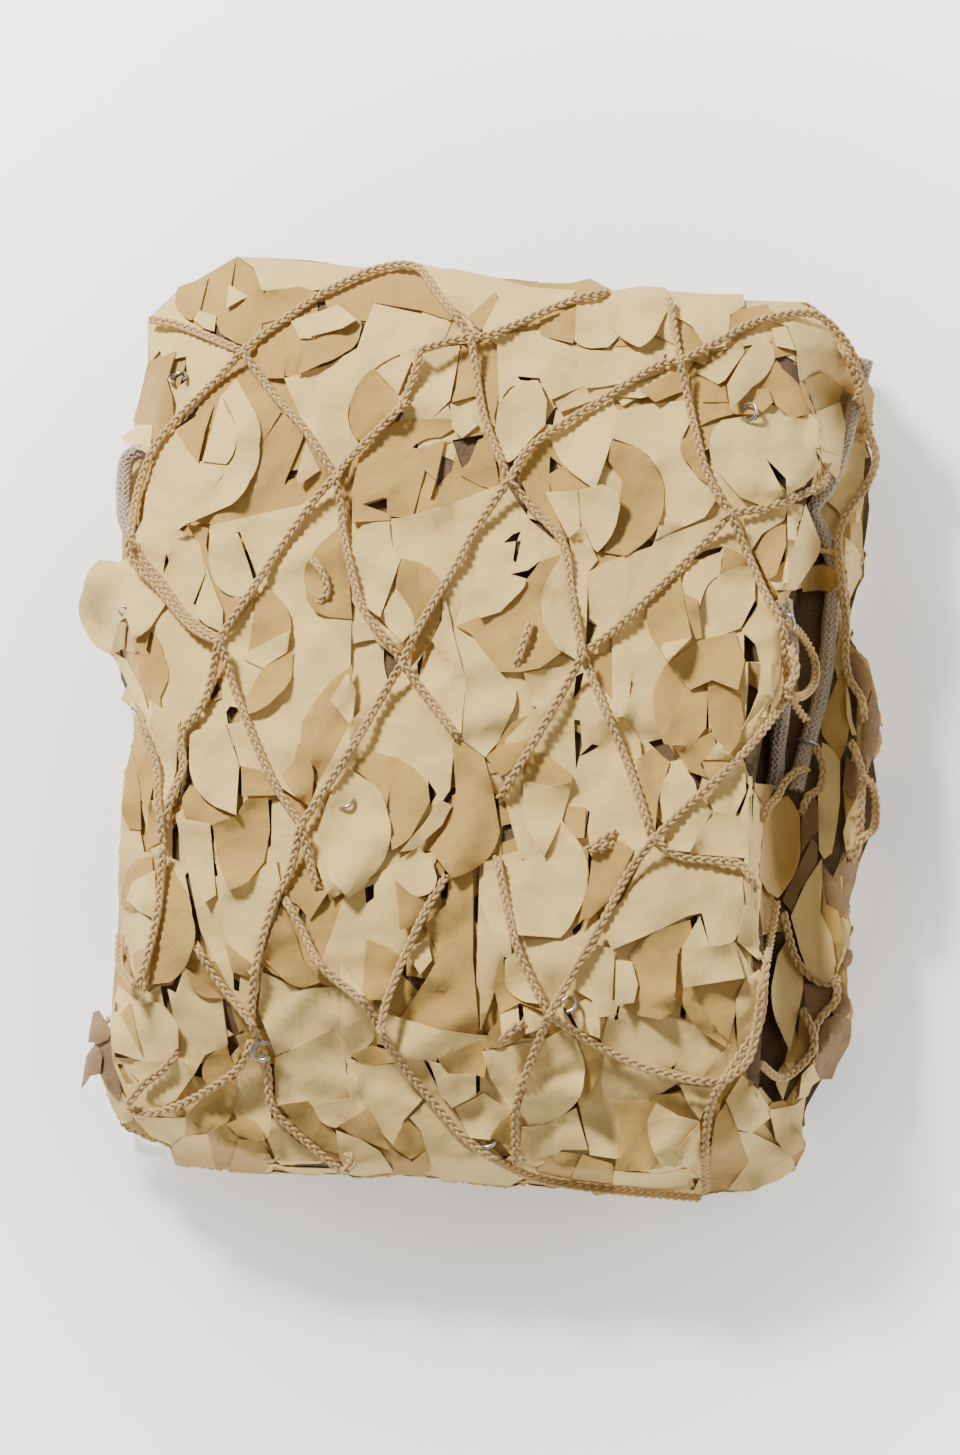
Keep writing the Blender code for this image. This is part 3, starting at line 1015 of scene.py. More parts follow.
# spacing in pixels, lift in mm, the shares of leaves that are tan and of each leaf's place that
# has to be bare, how far a leaf is turned either way, and the sizes it comes in
Strewn = namedtuple("Strewn", "form spacing lift tanShare bareShare spin sizes")
strewing = {
    "margin": 2,              # pixels left at the bed's edge
    "around": 6,              # pixels round a leaf that are looked at with it
    "mostShift": (40, 60),    # a leaf that would have to move farther to lie on the bed is left out
    "stray": 0.4,             # of the spacing
    "sunk": -0.0015,          # cloth may lie this little above its ceiling
    "liftRange": (0.4, 1.2),
}


def turned(form, x, y, size, angle, mirrored):
    c, s = math.cos(angle) * size, math.sin(angle) * size
    corners = []
    for corner in form:
        u, v = (-corner[0] if mirrored else corner[0]), corner[1]
        corners.append((x + c * u - s * v, y + s * u + c * v, *corner[2:]))
    return corners


def fits(bed, rim, bareShare):
    where, across, down = bed.window(rim, strewing["around"])
    covered = inside(rim, across, down)
    if not covered.any() or bed.heights[where][covered].min() < bed.deepest:
        return False
    around = covered | neighbours(covered).any(axis=0)
    around |= neighbours(around).any(axis=0)
    if (bed.ceiling - bed.heights)[where][around].min() < strewing["sunk"]:
        return False
    return bed.solid[where][covered].mean() >= bed.fullness and bed.bare[where][covered].mean() >= bareShare


def strew(cloth, bed, row, chance, slits=()):
    rows, columns = int(bed.size[1] / row.spacing[1]) + 1, int(bed.size[0] / row.spacing[0]) + 1
    places = [(column, line) for line in range(rows) for column in range(columns)]
    chance.shuffle(places)
    stray, margin = strewing["stray"], strewing["margin"]
    for column, line in places:
        x = (column + 0.5 * (line % 2) + chance.uniform(-stray, stray)) * row.spacing[0]
        y = (line + chance.uniform(-stray, stray)) * row.spacing[1]
        size, spin = chance.uniform(*row.sizes), chance.uniform(-row.spin, row.spin)
        corners = turned(leafForms[row.form], x, y, size, spin, chance.random() < 0.5)
        tone = tan if chance.random() < row.tanShare else sand
        rim = bowed(corners)
        shift = [max(margin - min(p[k] for p in rim), 0)
                 + min(bed.size[k] - margin - max(p[k] for p in rim), 0) for k in (0, 1)]
        if any(abs(move) > most for move, most in zip(shift, strewing["mostShift"])):
            continue
        corners = [(corner[0] + shift[0], corner[1] + shift[1], *corner[2:]) for corner in corners]
        rim = bowed(corners)
        if fits(bed, rim, row.bareShare):
            cloth.leaf(bed, tone, row.lift * chance.uniform(*strewing["liftRange"]), corners, chance, slits)
            bed.clear(bed.bare, [rim])


# The top. Every outline and route below is in pixels of the main view, as x and y by turns.

# The pack's outline from above, whose rim is lined with torn strips of garnish
outline = (
    148,318, 178,290, 205,275, 237,256, 310,260, 360,268, 415,262, 450,270, 495,277, 530,282, 570,283,
    590,278, 612,290, 663,290, 700,293, 745,300, 808,302, 835,322, 860,360, 868,400, 866,440, 862,500,
    862,545, 850,600, 846,640, 868,660, 878,700, 876,740, 862,790, 862,850, 850,880, 846,940, 848,1000,
    850,1027, 834,1060, 816,1080, 796,1115, 806,1145, 795,1167, 754,1190, 700,1196, 600,1190, 500,1180,
    345,1172, 271,1173, 175,1165, 170,1148, 121,1122, 112,1060, 112,1000, 118,930, 120,880, 122,820,
    128,760, 140,720, 130,690, 122,650, 120,600, 122,560, 122,500, 130,455, 135,420, 140,395, 148,360,
)
rim = {
    "middle": (480, 730),
    "depth": (42, 62),        # how far a strip reaches in from the outline
    "channelDepth": 0.35,     # the share of it that is left beside the channel
    "channelSpan": (790, 540, 1120),      # beyond this x, and between these ys
    "faces": (tan, tan, sand),
}


def lineEdge(cloth, bed, chance):
    far, start, end = rim["channelSpan"]
    spots = pairs(outline)
    for k in range(0, len(spots), 2):
        edge = [spots[(k + j) % len(spots)] for j in range(4)]
        inner = []
        for x, y in reversed(edge):
            dx, dy = rim["middle"][0] - x, rim["middle"][1] - y
            share = rim["channelDepth"] if x > far and start < y < end else 1
            reach = chance.uniform(*rim["depth"]) / math.hypot(dx, dy) * share
            inner.append((x + dx * reach, y + dy * reach))
        cloth.leaf(bed, chance.choice(rim["faces"]), 0, inner + edge, chance, gap=garnish["rimGap"])


# Where nothing lies over the plies, so that their painted shade shows and the channel is dark
hollows = (
    (790,590, 820,594, 824,650, 822,700, 812,740, 800,776, 782,776, 786,740, 800,705),
    (746,740, 774,736, 772,788, 750,784),
    (838,775, 846,800, 842,826, 844,846, 832,882, 820,866, 832,850),
    (778,900, 800,862, 802,800, 818,836, 820,856, 806,884, 790,920),
    (762,1050, 764,985, 776,936, 788,932, 774,985, 776,1025, 788,1056, 772,1076),
    (806,985, 830,985, 812,1040, 812,1060, 806,1030),
)
# A leaf is the side that is up, its lift in mm and its corners, and the lowest leaf comes first. It
# lifts away from its first edge. Last come the bows of the edges that follow some corners, outward
# where they are positive, as shares of those edges.
# The channel on the right, where the border rope lies. Its floor comes before the rope.
# Its brown leaves are tan with painted shade, where they hang in shadow.
channel = (
    (paintedShadeTan, 0, (846,757, 858,765, 862,790, 852,800, 843,785)),
    (sand, 0, (826,500, 832,470, 843,436, 858,440, 863,470, 864,500, 860,520, 846,530, 838,510)),
    (tan, 0, (838,530, 862,518, 863,560, 850,545)),
    (tan, 0, (846,430, 850,400, 866,378, 873,390, 870,428, 860,440)),
    (sand, 1, (838,536, 845,536, 855,546, 861,556, 861,575, 848,603, 843,590, 841,565), {2: 0.03}),
    (sand, 0, (833,660, 838,640, 840,600, 848,606, 848,650, 846,662, 838,680)),
    (paintedShadeTan, 1, (848,657, 855,652, 866,665, 871,685, 868,700, 862,695, 856,680), {1: 0.05, 2: 0.05}),
    (paintedShadeTan, 3, (872,690, 879,710, 879,735, 872,760, 866,772, 860,765, 864,730, 868,705), {0: 0.05, 1: 0.03,
     2: 0.05}),
    (tan, 2, (829,700, 842,668, 846,672, 850,700, 850,725, 846,745, 840,760, 822,735, 820,715)),
    (sand, 2, (846,680, 850,700, 852,720, 857,735, 852,735, 847,715)),
    (paintedShadeTan, 1, (852,846, 858,852, 856,872, 852,892, 848,902, 836,892, 831,880, 844,858), {1: 0.05}),
    (paintedShadeTan, 0, (822,862, 834,880, 846,898, 851,906, 840,920, 828,910, 820,890)),
    (sand, 1, (843,832, 848,814, 858,795, 862,800, 862,830, 858,843, 846,852)),
    (paintedShadeTan, 1, (846,948, 852,950, 851,964, 844,970, 841,958), {1: 0.1}),
    (paintedShadeTan, 2, (837,984, 845,988, 850,1012, 845,1018, 834,1018, 830,1002), {1: 0.08}),
    (sand, 1, (838,915, 851,922, 849,942, 843,960, 837,972, 832,940)),
    (tan, 1, (822,878, 826,904, 838,911, 842,932, 839,962, 832,966, 826,936, 818,905)),
    (sand, 3, (822,858, 822,880, 820,912, 832,936, 836,962, 832,984, 812,982, 800,950, 791,916, 806,882)),
    (paintedShadeTan, 0, (804,984, 832,984, 828,1006, 814,1024, 806,1014)),
    (paintedShadeTan, 3, (824,1020, 838,1014, 851,1020, 849,1045, 838,1064, 832,1079, 817,1080, 815,1045), {2: 0.05}),
    (tan, 4, (800,1008, 808,1018, 809,1042, 802,1066, 795,1060, 798,1035)),
    (tan, 3, (796,1030, 798,1050, 793,1076, 785,1064, 788,1046)),
    (sand, 3, (802,1074, 813,1064, 820,1080, 812,1086, 808,1096, 799,1099)),
    (sand, 2, (786,1058, 790,1078, 783,1100, 776,1084, 779,1070)),
    (sand, 2, (822,742, 828,745, 840,758, 840,800, 836,830, 832,853, 824,859, 819,850, 818,800, 820,775)),
    (paintedShadeTan, 4, (804,800, 814,792, 818,830, 812,836, 802,852, 801,825), {1: 0.05}),
    (paintedShadeTan, 3, (812,838, 818,845, 817,862, 800,890, 792,912, 782,900, 796,872)),
)
ropeRoutes = {
    "right": (866,360, 856,395, 848,430, 838,462, 826,490, 815,503, 812,515, 822,532, 830,552, 835,575,
              832,600, 829,635, 826,668, 820,700, 812,728, 806,748, 800,770, 796,790),
    "inner": (782,600, 790,640, 790,665, 785,690, 782,715, 778,745, 776,775, 772,790),
    "left": (150,450, 136,452, 126,462, 124,485, 124,510, 130,530, 145,545),
}
# The cloth of the top, with what lies over the rope first
overRope = (
    (tan, 3, (803,592, 801,578, 810,566, 824,564, 834,570, 840,582, 832,592, 818,590)),
)
leaves = (
    # far left
    (sand, 1, (178,291, 148,318, 150,362, 160,350, 172,392, 165,426, 205,385, 240,352, 190,322)),
    (tan, 2, (176,351, 148,361, 141,392, 133,420, 150,445, 174,420, 172,396, 167,380)),
    (sand, 3, (152,425, 150,456, 141,450, 121,437, 138,424), {2: 0.1}),
    (tan, 2, (205,278, 236,257, 234,268, 228,300, 221,334, 214,317, 199,309)),
    (tan, 4, (208,277, 200,309, 191,320, 180,311, 176,297, 184,284), {2: 0.1, 3: 0.2, 4: 0.25}),
    (sand, 2, (199,310, 193,319, 204,328, 214,331, 216,316)),
    (sand, 1, (237,256, 300,261, 372,268, 340,286, 300,292, 262,290, 254,268)),
    (tan, 2, (300,286, 262,291, 240,297, 226,306, 221,333, 246,346, 262,336, 262,323, 284,318, 318,292),
     {1: -0.05, 4: 0.05}),
    (sand, 1, (229,284, 248,296, 240,300, 226,308)),
    (tan, 1, (257,344, 286,346, 284,378, 262,378)),
    (tan, 1, (286,330, 309,340, 298,375, 284,376)),
    (sand, 1, (284,378, 330,364, 357,348, 366,322, 374,303, 452,321, 442,345, 412,350, 375,368, 352,398,
     350,428, 359,443, 340,478, 320,447, 300,416), {7: -0.05, 8: -0.1, 9: -0.1, 10: -0.05}),
    (tan, 3, (309,337, 342,326, 357,316, 360,332, 345,352, 322,363, 297,375), {2: 0.2, 3: 0.15, 4: 0.05}),
    (sand, 2, (290,320, 323,310, 311,338, 300,338)),
    (sand, 3, (323,310, 337,304, 357,319, 342,328, 311,336)),
    (sand, 1, (160,440, 176,430, 200,461, 230,464, 208,495, 176,533, 165,560, 140,540, 146,490)),
    (tan, 2, (214,404, 175,430, 186,447, 198,462, 205,430)),
    (sand, 3, (221,394, 214,420, 202,461, 226,464, 236,438, 228,412), {3: 0.1, 4: 0.1}),
    (tan, 1, (258,411, 282,410, 262,443, 284,412, 303,428, 303,437, 284,484, 298,484, 306,441, 318,455,
     340,487, 322,508, 286,521, 240,528, 190,521, 232,503, 250,478, 259,445), {16: 0.05}),
    (sand, 5, (236,378, 254,410, 259,445, 250,480, 230,505, 186,524, 173,533, 200,498, 228,465, 236,438,
     221,396), {1: 0.1, 2: 0.1, 3: 0.08, 7: -0.08, 8: -0.12, 9: -0.1}),
    (sand, 2, (306,442, 320,470, 300,484, 296,478)),
    # far middle
    (sand, 1, (430,270, 452,268, 495,277, 530,287, 575,290, 572,302, 510,325, 482,333, 466,316, 445,300,
     432,285)),
    (tan, 2, (372,302, 378,285, 392,271, 425,270, 440,295, 462,315, 450,320, 420,310), {1: 0.1, 2: 0.1}),
    (sand, 2, (453,321, 468,320, 480,338, 476,342, 443,345)),
    (tan, 2, (468,317, 495,291, 498,300, 480,330)),
    (sand, 1, (499,298, 540,312, 520,322, 484,335, 482,328)),
    (tan, 1, (476,342, 500,342, 498,400, 492,425, 485,390)),
    (sand, 1, (484,336, 540,330, 542,336, 568,345, 575,350, 585,385, 550,400, 540,380, 512,386, 499,408,
     497,345), {8: -0.1}),
    (tan, 3, (540,320, 577,306, 573,343, 542,336)),
    (sand, 3, (498,405, 510,390, 538,380, 547,400, 545,425, 530,440, 515,458, 504,462, 495,430), {1: 0.1,
     6: 0.15}),
    (tan, 1, (462,345, 470,350, 478,395, 452,402, 456,372)),
    (sand, 2, (400,352, 460,345, 456,370, 450,400, 430,420, 448,405, 453,420, 405,420, 398,395)),
    (tan, 3, (400,395, 385,378, 374,368, 357,388, 350,410, 352,430, 362,442, 395,415), {2: 0.1, 3: 0.1,
     4: 0.1, 5: 0.1}),
    (sand, 3, (376,370, 400,357, 412,360, 398,394)),
    (tan, 1, (362,442, 400,420, 448,418, 455,428, 440,437, 412,447, 436,455, 436,480, 430,500, 445,500,
     449,506, 426,515, 413,518, 425,470, 411,519, 388,516, 387,498, 363,506, 352,520, 352,490), {2: 0.05,
     4: -0.1}),
    (tan, 3, (445,440, 425,447, 402,465, 391,490, 389,516, 412,519, 425,470, 436,480), {1: 0.05, 2: 0.1,
     3: 0.05}),
    (sand, 1, (450,403, 470,412, 478,425, 462,438, 452,428)),
    (tan, 1, (478,440, 490,435, 497,470, 500,490, 480,486, 460,475, 470,460)),
    (tan, 1, (520,455, 548,438, 560,460, 590,485, 596,495, 552,498, 562,532, 545,505, 520,482)),
    (sand, 4, (550,430, 612,402, 625,420, 612,440, 602,470, 595,490, 575,475, 555,450), {6: 0.08, 7: 0.08}),
    (sand, 1, (585,385, 555,402, 560,412, 622,390, 600,378)),
    (sand, 3, (577,300, 605,292, 608,310, 620,335, 608,347, 590,348, 574,340), {5: 0.1}),
    (sand, 1, (572,345, 590,350, 640,352, 664,350, 664,372, 640,380, 600,387, 585,388)),
    # far right
    (sand, 4, (605,292, 640,286, 665,287, 672,300, 660,325, 640,347, 615,330, 606,312), {4: 0.1, 5: 0.1,
     6: 0.1}),
    (tan, 2, (672,318, 695,325, 708,345, 705,365, 680,355), {1: 0.1, 2: 0.1}),
    (sand, 1, (672,293, 743,294, 745,305, 730,315, 728,345, 708,350, 692,326, 672,316), {6: -0.05}),
    (tan, 3, (730,342, 730,320, 745,308, 768,304, 772,316, 745,335), {1: 0.2}),
    (tan, 1, (700,378, 725,385, 728,402, 702,402)),
    (tan, 1, (770,335, 795,345, 800,352, 775,358)),
    (sand, 2, (770,320, 808,310, 832,325, 850,360, 858,398, 835,384, 800,381, 797,352, 788,326)),
    (sand, 1, (772,328, 786,326, 796,350, 776,346)),
    (sand, 3, (695,372, 715,360, 740,340, 745,352, 725,380, 718,384)),
    (tan, 3, (765,386, 775,362, 795,380, 808,395, 812,414, 790,418, 776,405)),
    (tan, 3, (800,382, 822,372, 842,386, 838,402, 812,414), {2: 0.1}),
    (tan, 3, (745,390, 768,388, 773,402, 760,414, 736,414, 729,402), {4: 0.2}),
    (sand, 5, (762,333, 773,346, 772,366, 752,387, 731,408, 727,385, 742,358), {1: 0.12, 2: 0.08, 3: 0.03}),
    (tan, 2, (700,445, 688,418, 681,440, 690,465, 707,484), {1: 0.1, 2: 0.15, 3: 0.08}),
    (sand, 3, (765,413, 800,418, 840,402, 846,425, 842,457, 815,447, 820,470, 803,486, 787,494, 786,478,
     766,458, 784,494, 765,507, 740,497, 718,472, 710,440, 722,420, 745,416, 750,424), {14: 0.1, 15: 0.12}),
    (sand, 1, (612,412, 640,405, 685,400, 692,418, 681,440, 690,468, 716,500, 705,517, 655,540, 665,500,
     655,465, 632,445, 612,438), {4: -0.12, 9: -0.1, 10: -0.1}),
    (tan, 2, (612,440, 640,448, 660,475, 664,500, 652,535, 625,556, 603,552, 618,520, 622,480, 608,460),
     {1: 0.05, 2: 0.08, 3: 0.08, 4: 0.04}),
    (sand, 1, (608,395, 655,378, 676,366, 662,393, 640,398, 612,396)),
    (tan, 2, (640,390, 672,372, 688,372, 690,388, 655,402)),
    (sand, 1, (815,448, 842,457, 838,480, 826,468)),
    # left
    (sand, 1, (150,505, 180,530, 206,545, 210,580, 222,640, 206,690, 186,730, 176,760, 155,745, 148,700,
     140,645, 128,600, 128,548)),
    (sand, 1, (210,525, 300,505, 335,480, 352,520, 352,600, 350,680, 322,740, 300,800, 270,780, 240,765,
     222,700, 222,640, 208,560)),
    (tan, 1, (186,524, 208,528, 206,545, 213,575, 236,596, 256,599, 240,616, 226,634, 205,612, 206,575,
     200,545), {4: -0.1}),
    (sand, 2, (205,562, 214,588, 223,610, 222,632, 206,625, 193,612, 206,575)),
    (sand, 2, (210,545, 212,532, 238,533, 249,565, 258,596, 236,597, 216,584), {5: 0.1, 6: 0.1}),
    (tan, 1, (256,600, 266,585, 282,600, 291,625, 290,642, 264,650, 248,652), {2: 0.08}),
    (sand, 2, (245,660, 250,650, 290,630, 287,652, 262,668)),
    (tan, 2, (262,668, 286,655, 293,650, 292,675, 277,696, 248,714, 243,704), {3: 0.08, 4: 0.08}),
    (tan, 2, (345,522, 348,560, 352,619, 330,617, 312,608, 305,585, 310,558, 330,535), {3: 0.08, 4: 0.1,
     5: 0.12, 6: 0.05}),
    (tan, 1, (134,612, 152,632, 163,655, 168,680, 160,697, 162,722, 150,735, 143,690, 135,650), {1: 0.1,
     2: 0.08}),
    (sand, 4, (142,552, 118,562, 100,559, 83,590, 84,628, 96,646, 110,655, 117,640, 118,622, 126,617,
     134,640, 150,628, 168,600), {2: 0.12, 3: 0.14, 4: 0.05}),
    (tan, 2, (118,622, 126,622, 124,648, 110,655)),
    (sand, 1, (112,652, 126,660, 142,690, 152,724, 134,700, 122,672)),
    (tan, 2, (300,745, 302,722, 316,700, 352,665, 352,745, 330,790), {2: 0.05}),
    (sand, 2, (330,700, 348,672, 356,690, 352,728)),
    # middle
    (sand, 1, (352,520, 400,518, 450,504, 505,482, 470,560, 445,595, 402,663, 375,640, 352,600)),
    (sand, 1, (505,482, 530,520, 560,545, 583,654, 560,720, 500,800, 455,740, 402,663, 440,600, 470,540)),
    (tan, 1, (352,495, 388,495, 390,520, 352,522)),
    (sand, 4, (364,523, 389,521, 392,545, 401,558, 380,617, 360,600, 349,565), {4: 0.04, 5: 0.06, 6: 0.1}),
    (tan, 2, (402,558, 416,562, 421,590, 414,622, 396,590), {4: 0.05}),
    (tan, 3, (416,561, 430,568, 442,582, 424,615, 414,627, 413,610, 420,590)),
    (sand, 3, (380,618, 396,588, 410,608, 415,628, 402,643), {2: 0.08}),
    (tan, 2, (418,622, 443,585, 446,600, 432,642, 410,668)),
    (sand, 3, (443,590, 449,612, 455,640, 466,680, 447,662, 432,640, 442,620), {4: 0.05}),
    (sand, 2, (432,650, 450,660, 466,680, 461,735, 440,725, 420,680)),
    (sand, 3, (467,587, 482,600, 480,625, 472,636, 500,672, 516,690, 512,712, 498,742, 485,757, 462,740,
     466,680, 455,625), {5: 0.08}),
    (tan, 2, (540,562, 562,553, 548,580, 541,612, 562,652, 540,668, 520,672, 500,672, 471,634, 456,626,
     476,618, 500,610, 520,588), {2: -0.08, 3: -0.08}),
    (sand, 3, (480,548, 508,574, 526,580, 520,592, 500,612, 480,618, 470,600), {2: 0.1}),
    (sand, 2, (567,540, 558,562, 545,585, 542,615, 560,650, 577,660, 578,600), {1: 0.05, 2: 0.08, 3: 0.08}),
    (sand, 2, (524,673, 577,664, 566,690, 545,713, 531,704, 527,686), {4: -0.1}),
    (tan, 1, (498,742, 512,722, 535,712, 530,735, 505,770, 486,775)),
    (tan, 1, (520,480, 548,482, 556,515, 567,540, 545,528)),
    (sand, 3, (545,492, 578,490, 580,528, 569,538, 560,522)),
    (sand, 5, (580,526, 579,490, 602,484, 617,492, 618,515, 597,552, 590,545), {3: 0.1, 4: 0.1}),
    (sand, 3, (569,538, 582,526, 598,560, 588,572, 586,645, 577,640, 575,580)),
    (sand, 2, (588,572, 606,562, 655,545, 665,560, 612,632, 590,648, 597,625, 589,618)),
    (tan, 3, (590,655, 612,652, 628,668, 633,690, 618,722, 604,700), {2: 0.06, 3: 0.08}),
    (tan, 1, (582,690, 592,684, 604,720, 605,742, 582,742)),
    # right
    (sand, 1, (655,540, 728,513, 755,560, 785,625, 787,690, 740,760, 670,830, 640,800, 612,700, 612,632)),
    (sand, 2, (742,512, 790,504, 784,520, 762,534, 750,552)),
    (sand, 4, (788,503, 806,505, 821,542, 816,560, 796,590, 776,590, 768,578, 785,560, 787,530), {2: 0.06}),
    (tan, 3, (754,552, 764,536, 786,524, 786,545, 776,575, 768,580), {1: 0.1}),
    (tan, 1, (725,546, 750,558, 745,566, 720,575)),
    (sand, 3, (685,570, 700,560, 722,554, 720,575, 704,592, 698,612, 688,604, 681,590), {3: -0.1}),
    (sand, 4, (700,640, 699,612, 706,590, 722,574, 748,566, 755,580, 755,600, 741,628, 720,636), {2: 0.06,
     3: 0.06}),
    (tan, 2, (683,592, 698,600, 702,638, 693,640)),
    (tan, 3, (680,574, 648,602, 647,620, 654,642, 667,662, 692,638, 684,600), {2: 0.06}),
    (sand, 4, (692,637, 664,643, 660,648, 668,662)),
    (tan, 4, (712,683, 667,663, 654,690, 655,720, 664,744, 690,748, 706,728, 708,690), {1: 0.03, 2: 0.06}),
    (tan, 4, (700,640, 735,632, 745,660, 738,690, 712,680, 690,690, 668,663)),
    (tan, 5, (708,681, 722,684, 740,694, 744,720, 739,742, 728,757, 713,735, 708,712)),
    (sand, 3, (766,596, 780,622, 786,645, 782,690, 770,700, 742,730, 757,700, 761,668, 756,645, 742,630)),
    (tan, 2, (776,591, 792,588, 786,604, 780,604)),
    # near left
    (sand, 1, (150,700, 180,720, 176,775, 165,820, 155,855, 125,850, 122,800, 140,760)),
    (sand, 0, (122,800, 160,800, 190,860, 200,930, 172,985, 140,990, 120,940, 118,880)),
    (sand, 1, (175,815, 240,760, 301,825, 285,880, 262,975, 251,1022, 225,980, 200,930, 186,860)),
    (tan, 2, (133,712, 150,740, 155,775, 148,810, 138,795, 135,750)),
    (tan, 2, (125,770, 134,755, 140,790, 141,830, 128,828, 121,810)),
    (sand, 2, (152,720, 178,722, 176,770, 164,818, 158,780, 154,740)),
    (tan, 2, (148,812, 158,808, 160,842, 146,850)),
    (tan, 1, (182,750, 190,720, 200,700, 198,740)),
    (tan, 2, (182,798, 190,785, 210,798, 235,818, 212,825, 184,816), {4: 0.1}),
    (sand, 4, (190,732, 225,722, 239,765, 236,815, 214,806, 194,785, 189,755), {4: 0.06, 5: 0.06}),
    (tan, 2, (241,766, 262,770, 276,795, 242,796)),
    (tan, 3, (212,824, 236,816, 246,800, 268,798, 270,830, 264,862, 248,882, 228,890, 218,860), {6: 0.05}),
    (sand, 3, (181,818, 210,824, 216,895, 204,903, 190,868)),
    (sand, 2, (225,892, 248,882, 275,855, 280,880, 262,960, 250,975, 225,938, 218,905)),
    (tan, 5, (160,858, 150,880, 158,920, 148,985, 170,982, 190,955, 192,915, 182,885), {4: 0.1, 5: 0.1,
     6: 0.08, 7: 0.05}),
    (tan, 3, (152,856, 136,860, 124,882, 121,905, 134,910, 155,905), {1: 0.1, 2: 0.06}),
    (sand, 4, (155,870, 132,882, 126,900, 140,912, 156,920)),
    (sand, 3, (124,916, 140,912, 156,925, 150,945, 132,955, 122,935)),
    (tan, 3, (132,955, 152,942, 148,985, 136,985)),
    (tan, 1, (224,942, 250,962, 250,978, 232,972)),
    (tan, 3, (282,902, 296,935, 303,960, 302,985, 284,978, 261,962), {4: 0.1}),
    (tan, 2, (283,898, 318,866, 340,855, 343,870, 328,892, 310,920, 298,905), {2: 0.15}),
    (tan, 3, (298,742, 310,760, 313,785, 311,808, 295,795, 281,775, 294,762), {1: 0.08}),
    # near middle
    (sand, 1, (352,720, 402,665, 455,733, 450,790, 402,860, 330,900, 301,825, 320,780)),
    (sand, 1, (345,895, 400,860, 440,850, 410,930, 388,1000, 350,1000, 320,965)),
    (sand, 1, (480,862, 520,850, 590,880, 600,930, 575,975, 549,1015, 515,955, 475,1030, 478,920)),
    (sand, 1, (505,740, 583,660, 640,740, 650,838, 612,900, 580,880, 520,858, 505,800)),
    (tan, 2, (352,768, 360,758, 378,752, 396,758, 386,808, 372,785), {5: -0.05}),
    (tan, 3, (396,757, 414,768, 428,785, 430,802, 410,838, 392,850, 387,805), {1: 0.05, 4: 0.04}),
    (sand, 5, (348,768, 374,785, 388,815, 389,845, 370,878, 348,898, 330,880, 318,830, 330,795), {1: 0.08,
     2: 0.08, 3: 0.08, 4: 0.08}),
    (sand, 2, (440,800, 452,805, 442,825, 414,850, 400,852, 425,822)),
    (sand, 4, (395,862, 418,847, 432,860, 437,878, 430,893, 412,896, 394,880), {3: 0.1, 4: 0.1, 5: 0.08}),
    (tan, 2, (395,880, 412,895, 430,898, 418,925, 400,930, 398,905)),
    (tan, 2, (366,939, 390,948, 402,958, 390,1000, 362,1000)),
    (tan, 3, (450,875, 473,870, 473,960, 479,1030, 460,1052, 425,1062, 398,1055, 388,1036, 420,990, 440,955,
     425,925, 446,905), {4: 0.06, 5: 0.06}),
    (sand, 4, (414,945, 428,940, 432,960, 420,975, 410,958)),
    (tan, 5, (452,742, 463,742, 484,757, 493,790, 500,832, 490,856, 452,878, 440,862, 430,850, 452,820,
     456,790), {4: 0.05, 5: 0.08}),
    (tan, 2, (486,757, 500,745, 526,740, 520,765, 500,777)),
    (tan, 2, (530,750, 548,755, 572,775, 572,782, 550,786, 523,780), {3: 0.05, 4: 0.08}),
    (sand, 5, (573,782, 550,786, 523,781, 523,815, 534,840, 544,858, 562,820), {3: 0.05}),
    (sand, 4, (504,862, 545,859, 562,820, 576,838, 587,860, 587,885, 576,915, 560,938, 518,935, 508,890),
     {3: 0.06, 4: 0.06, 5: 0.06, 6: 0.06}),
    (tan, 2, (568,806, 586,808, 584,838, 576,838, 564,820)),
    (tan, 1, (588,858, 620,840, 634,850, 610,900, 577,930, 586,890)),
    (sand, 3, (484,862, 494,860, 510,935, 512,960, 500,955, 482,905)),
    (sand, 2, (478,925, 504,958, 492,1000, 481,1030)),
    # near right
    (sand, 1, (655,835, 683,809, 741,756, 765,800, 762,880, 756,965, 722,1083, 600,1040, 549,1015,
     612,920)),
    (tan, 2, (636,760, 652,748, 670,762, 658,800, 655,832, 642,802)),
    (tan, 2, (672,744, 700,738, 712,732, 716,745, 700,764, 708,778, 690,772)),
    (sand, 5, (664,828, 660,800, 664,780, 679,760, 694,780, 697,796, 684,812), {1: 0.04, 2: 0.04, 4: 0.06}),
    (sand, 3, (704,760, 718,742, 736,759)),
    (tan, 2, (702,762, 731,762, 716,780, 708,776)),
    (sand, 2, (708,800, 728,770, 745,765, 746,792, 735,816, 715,812)),
    (sand, 3, (664,832, 700,800, 712,812, 690,852, 668,850)),
    (sand, 4, (690,854, 700,830, 716,812, 738,816, 748,838, 744,858), {3: 0.1, 4: 0.05}),
    (sand, 3, (750,784, 762,810, 764,838, 758,882, 744,862, 748,838, 740,818)),
    (tan, 2, (750,783, 776,785, 765,805)),
    (tan, 5, (764,818, 774,800, 788,796, 800,816, 800,850, 792,878, 778,898, 768,892, 760,878, 762,848),
     {2: 0.04, 4: 0.05, 5: 0.03, 8: 0.03}),
    (sand, 3, (655,858, 700,858, 742,868, 744,900, 743,925, 735,940, 710,948, 702,913, 688,916, 655,932,
     612,950, 600,925, 640,880), {5: 0.1}),
    (tan, 3, (630,955, 640,942, 660,930, 690,920, 695,945, 680,948, 675,1000, 635,1000)),
    (sand, 3, (682,948, 700,916, 710,948, 735,942, 762,985, 745,985, 690,985)),
    (sand, 2, (743,872, 756,890, 758,930, 764,965, 738,942, 745,900)),
    # near edge, left
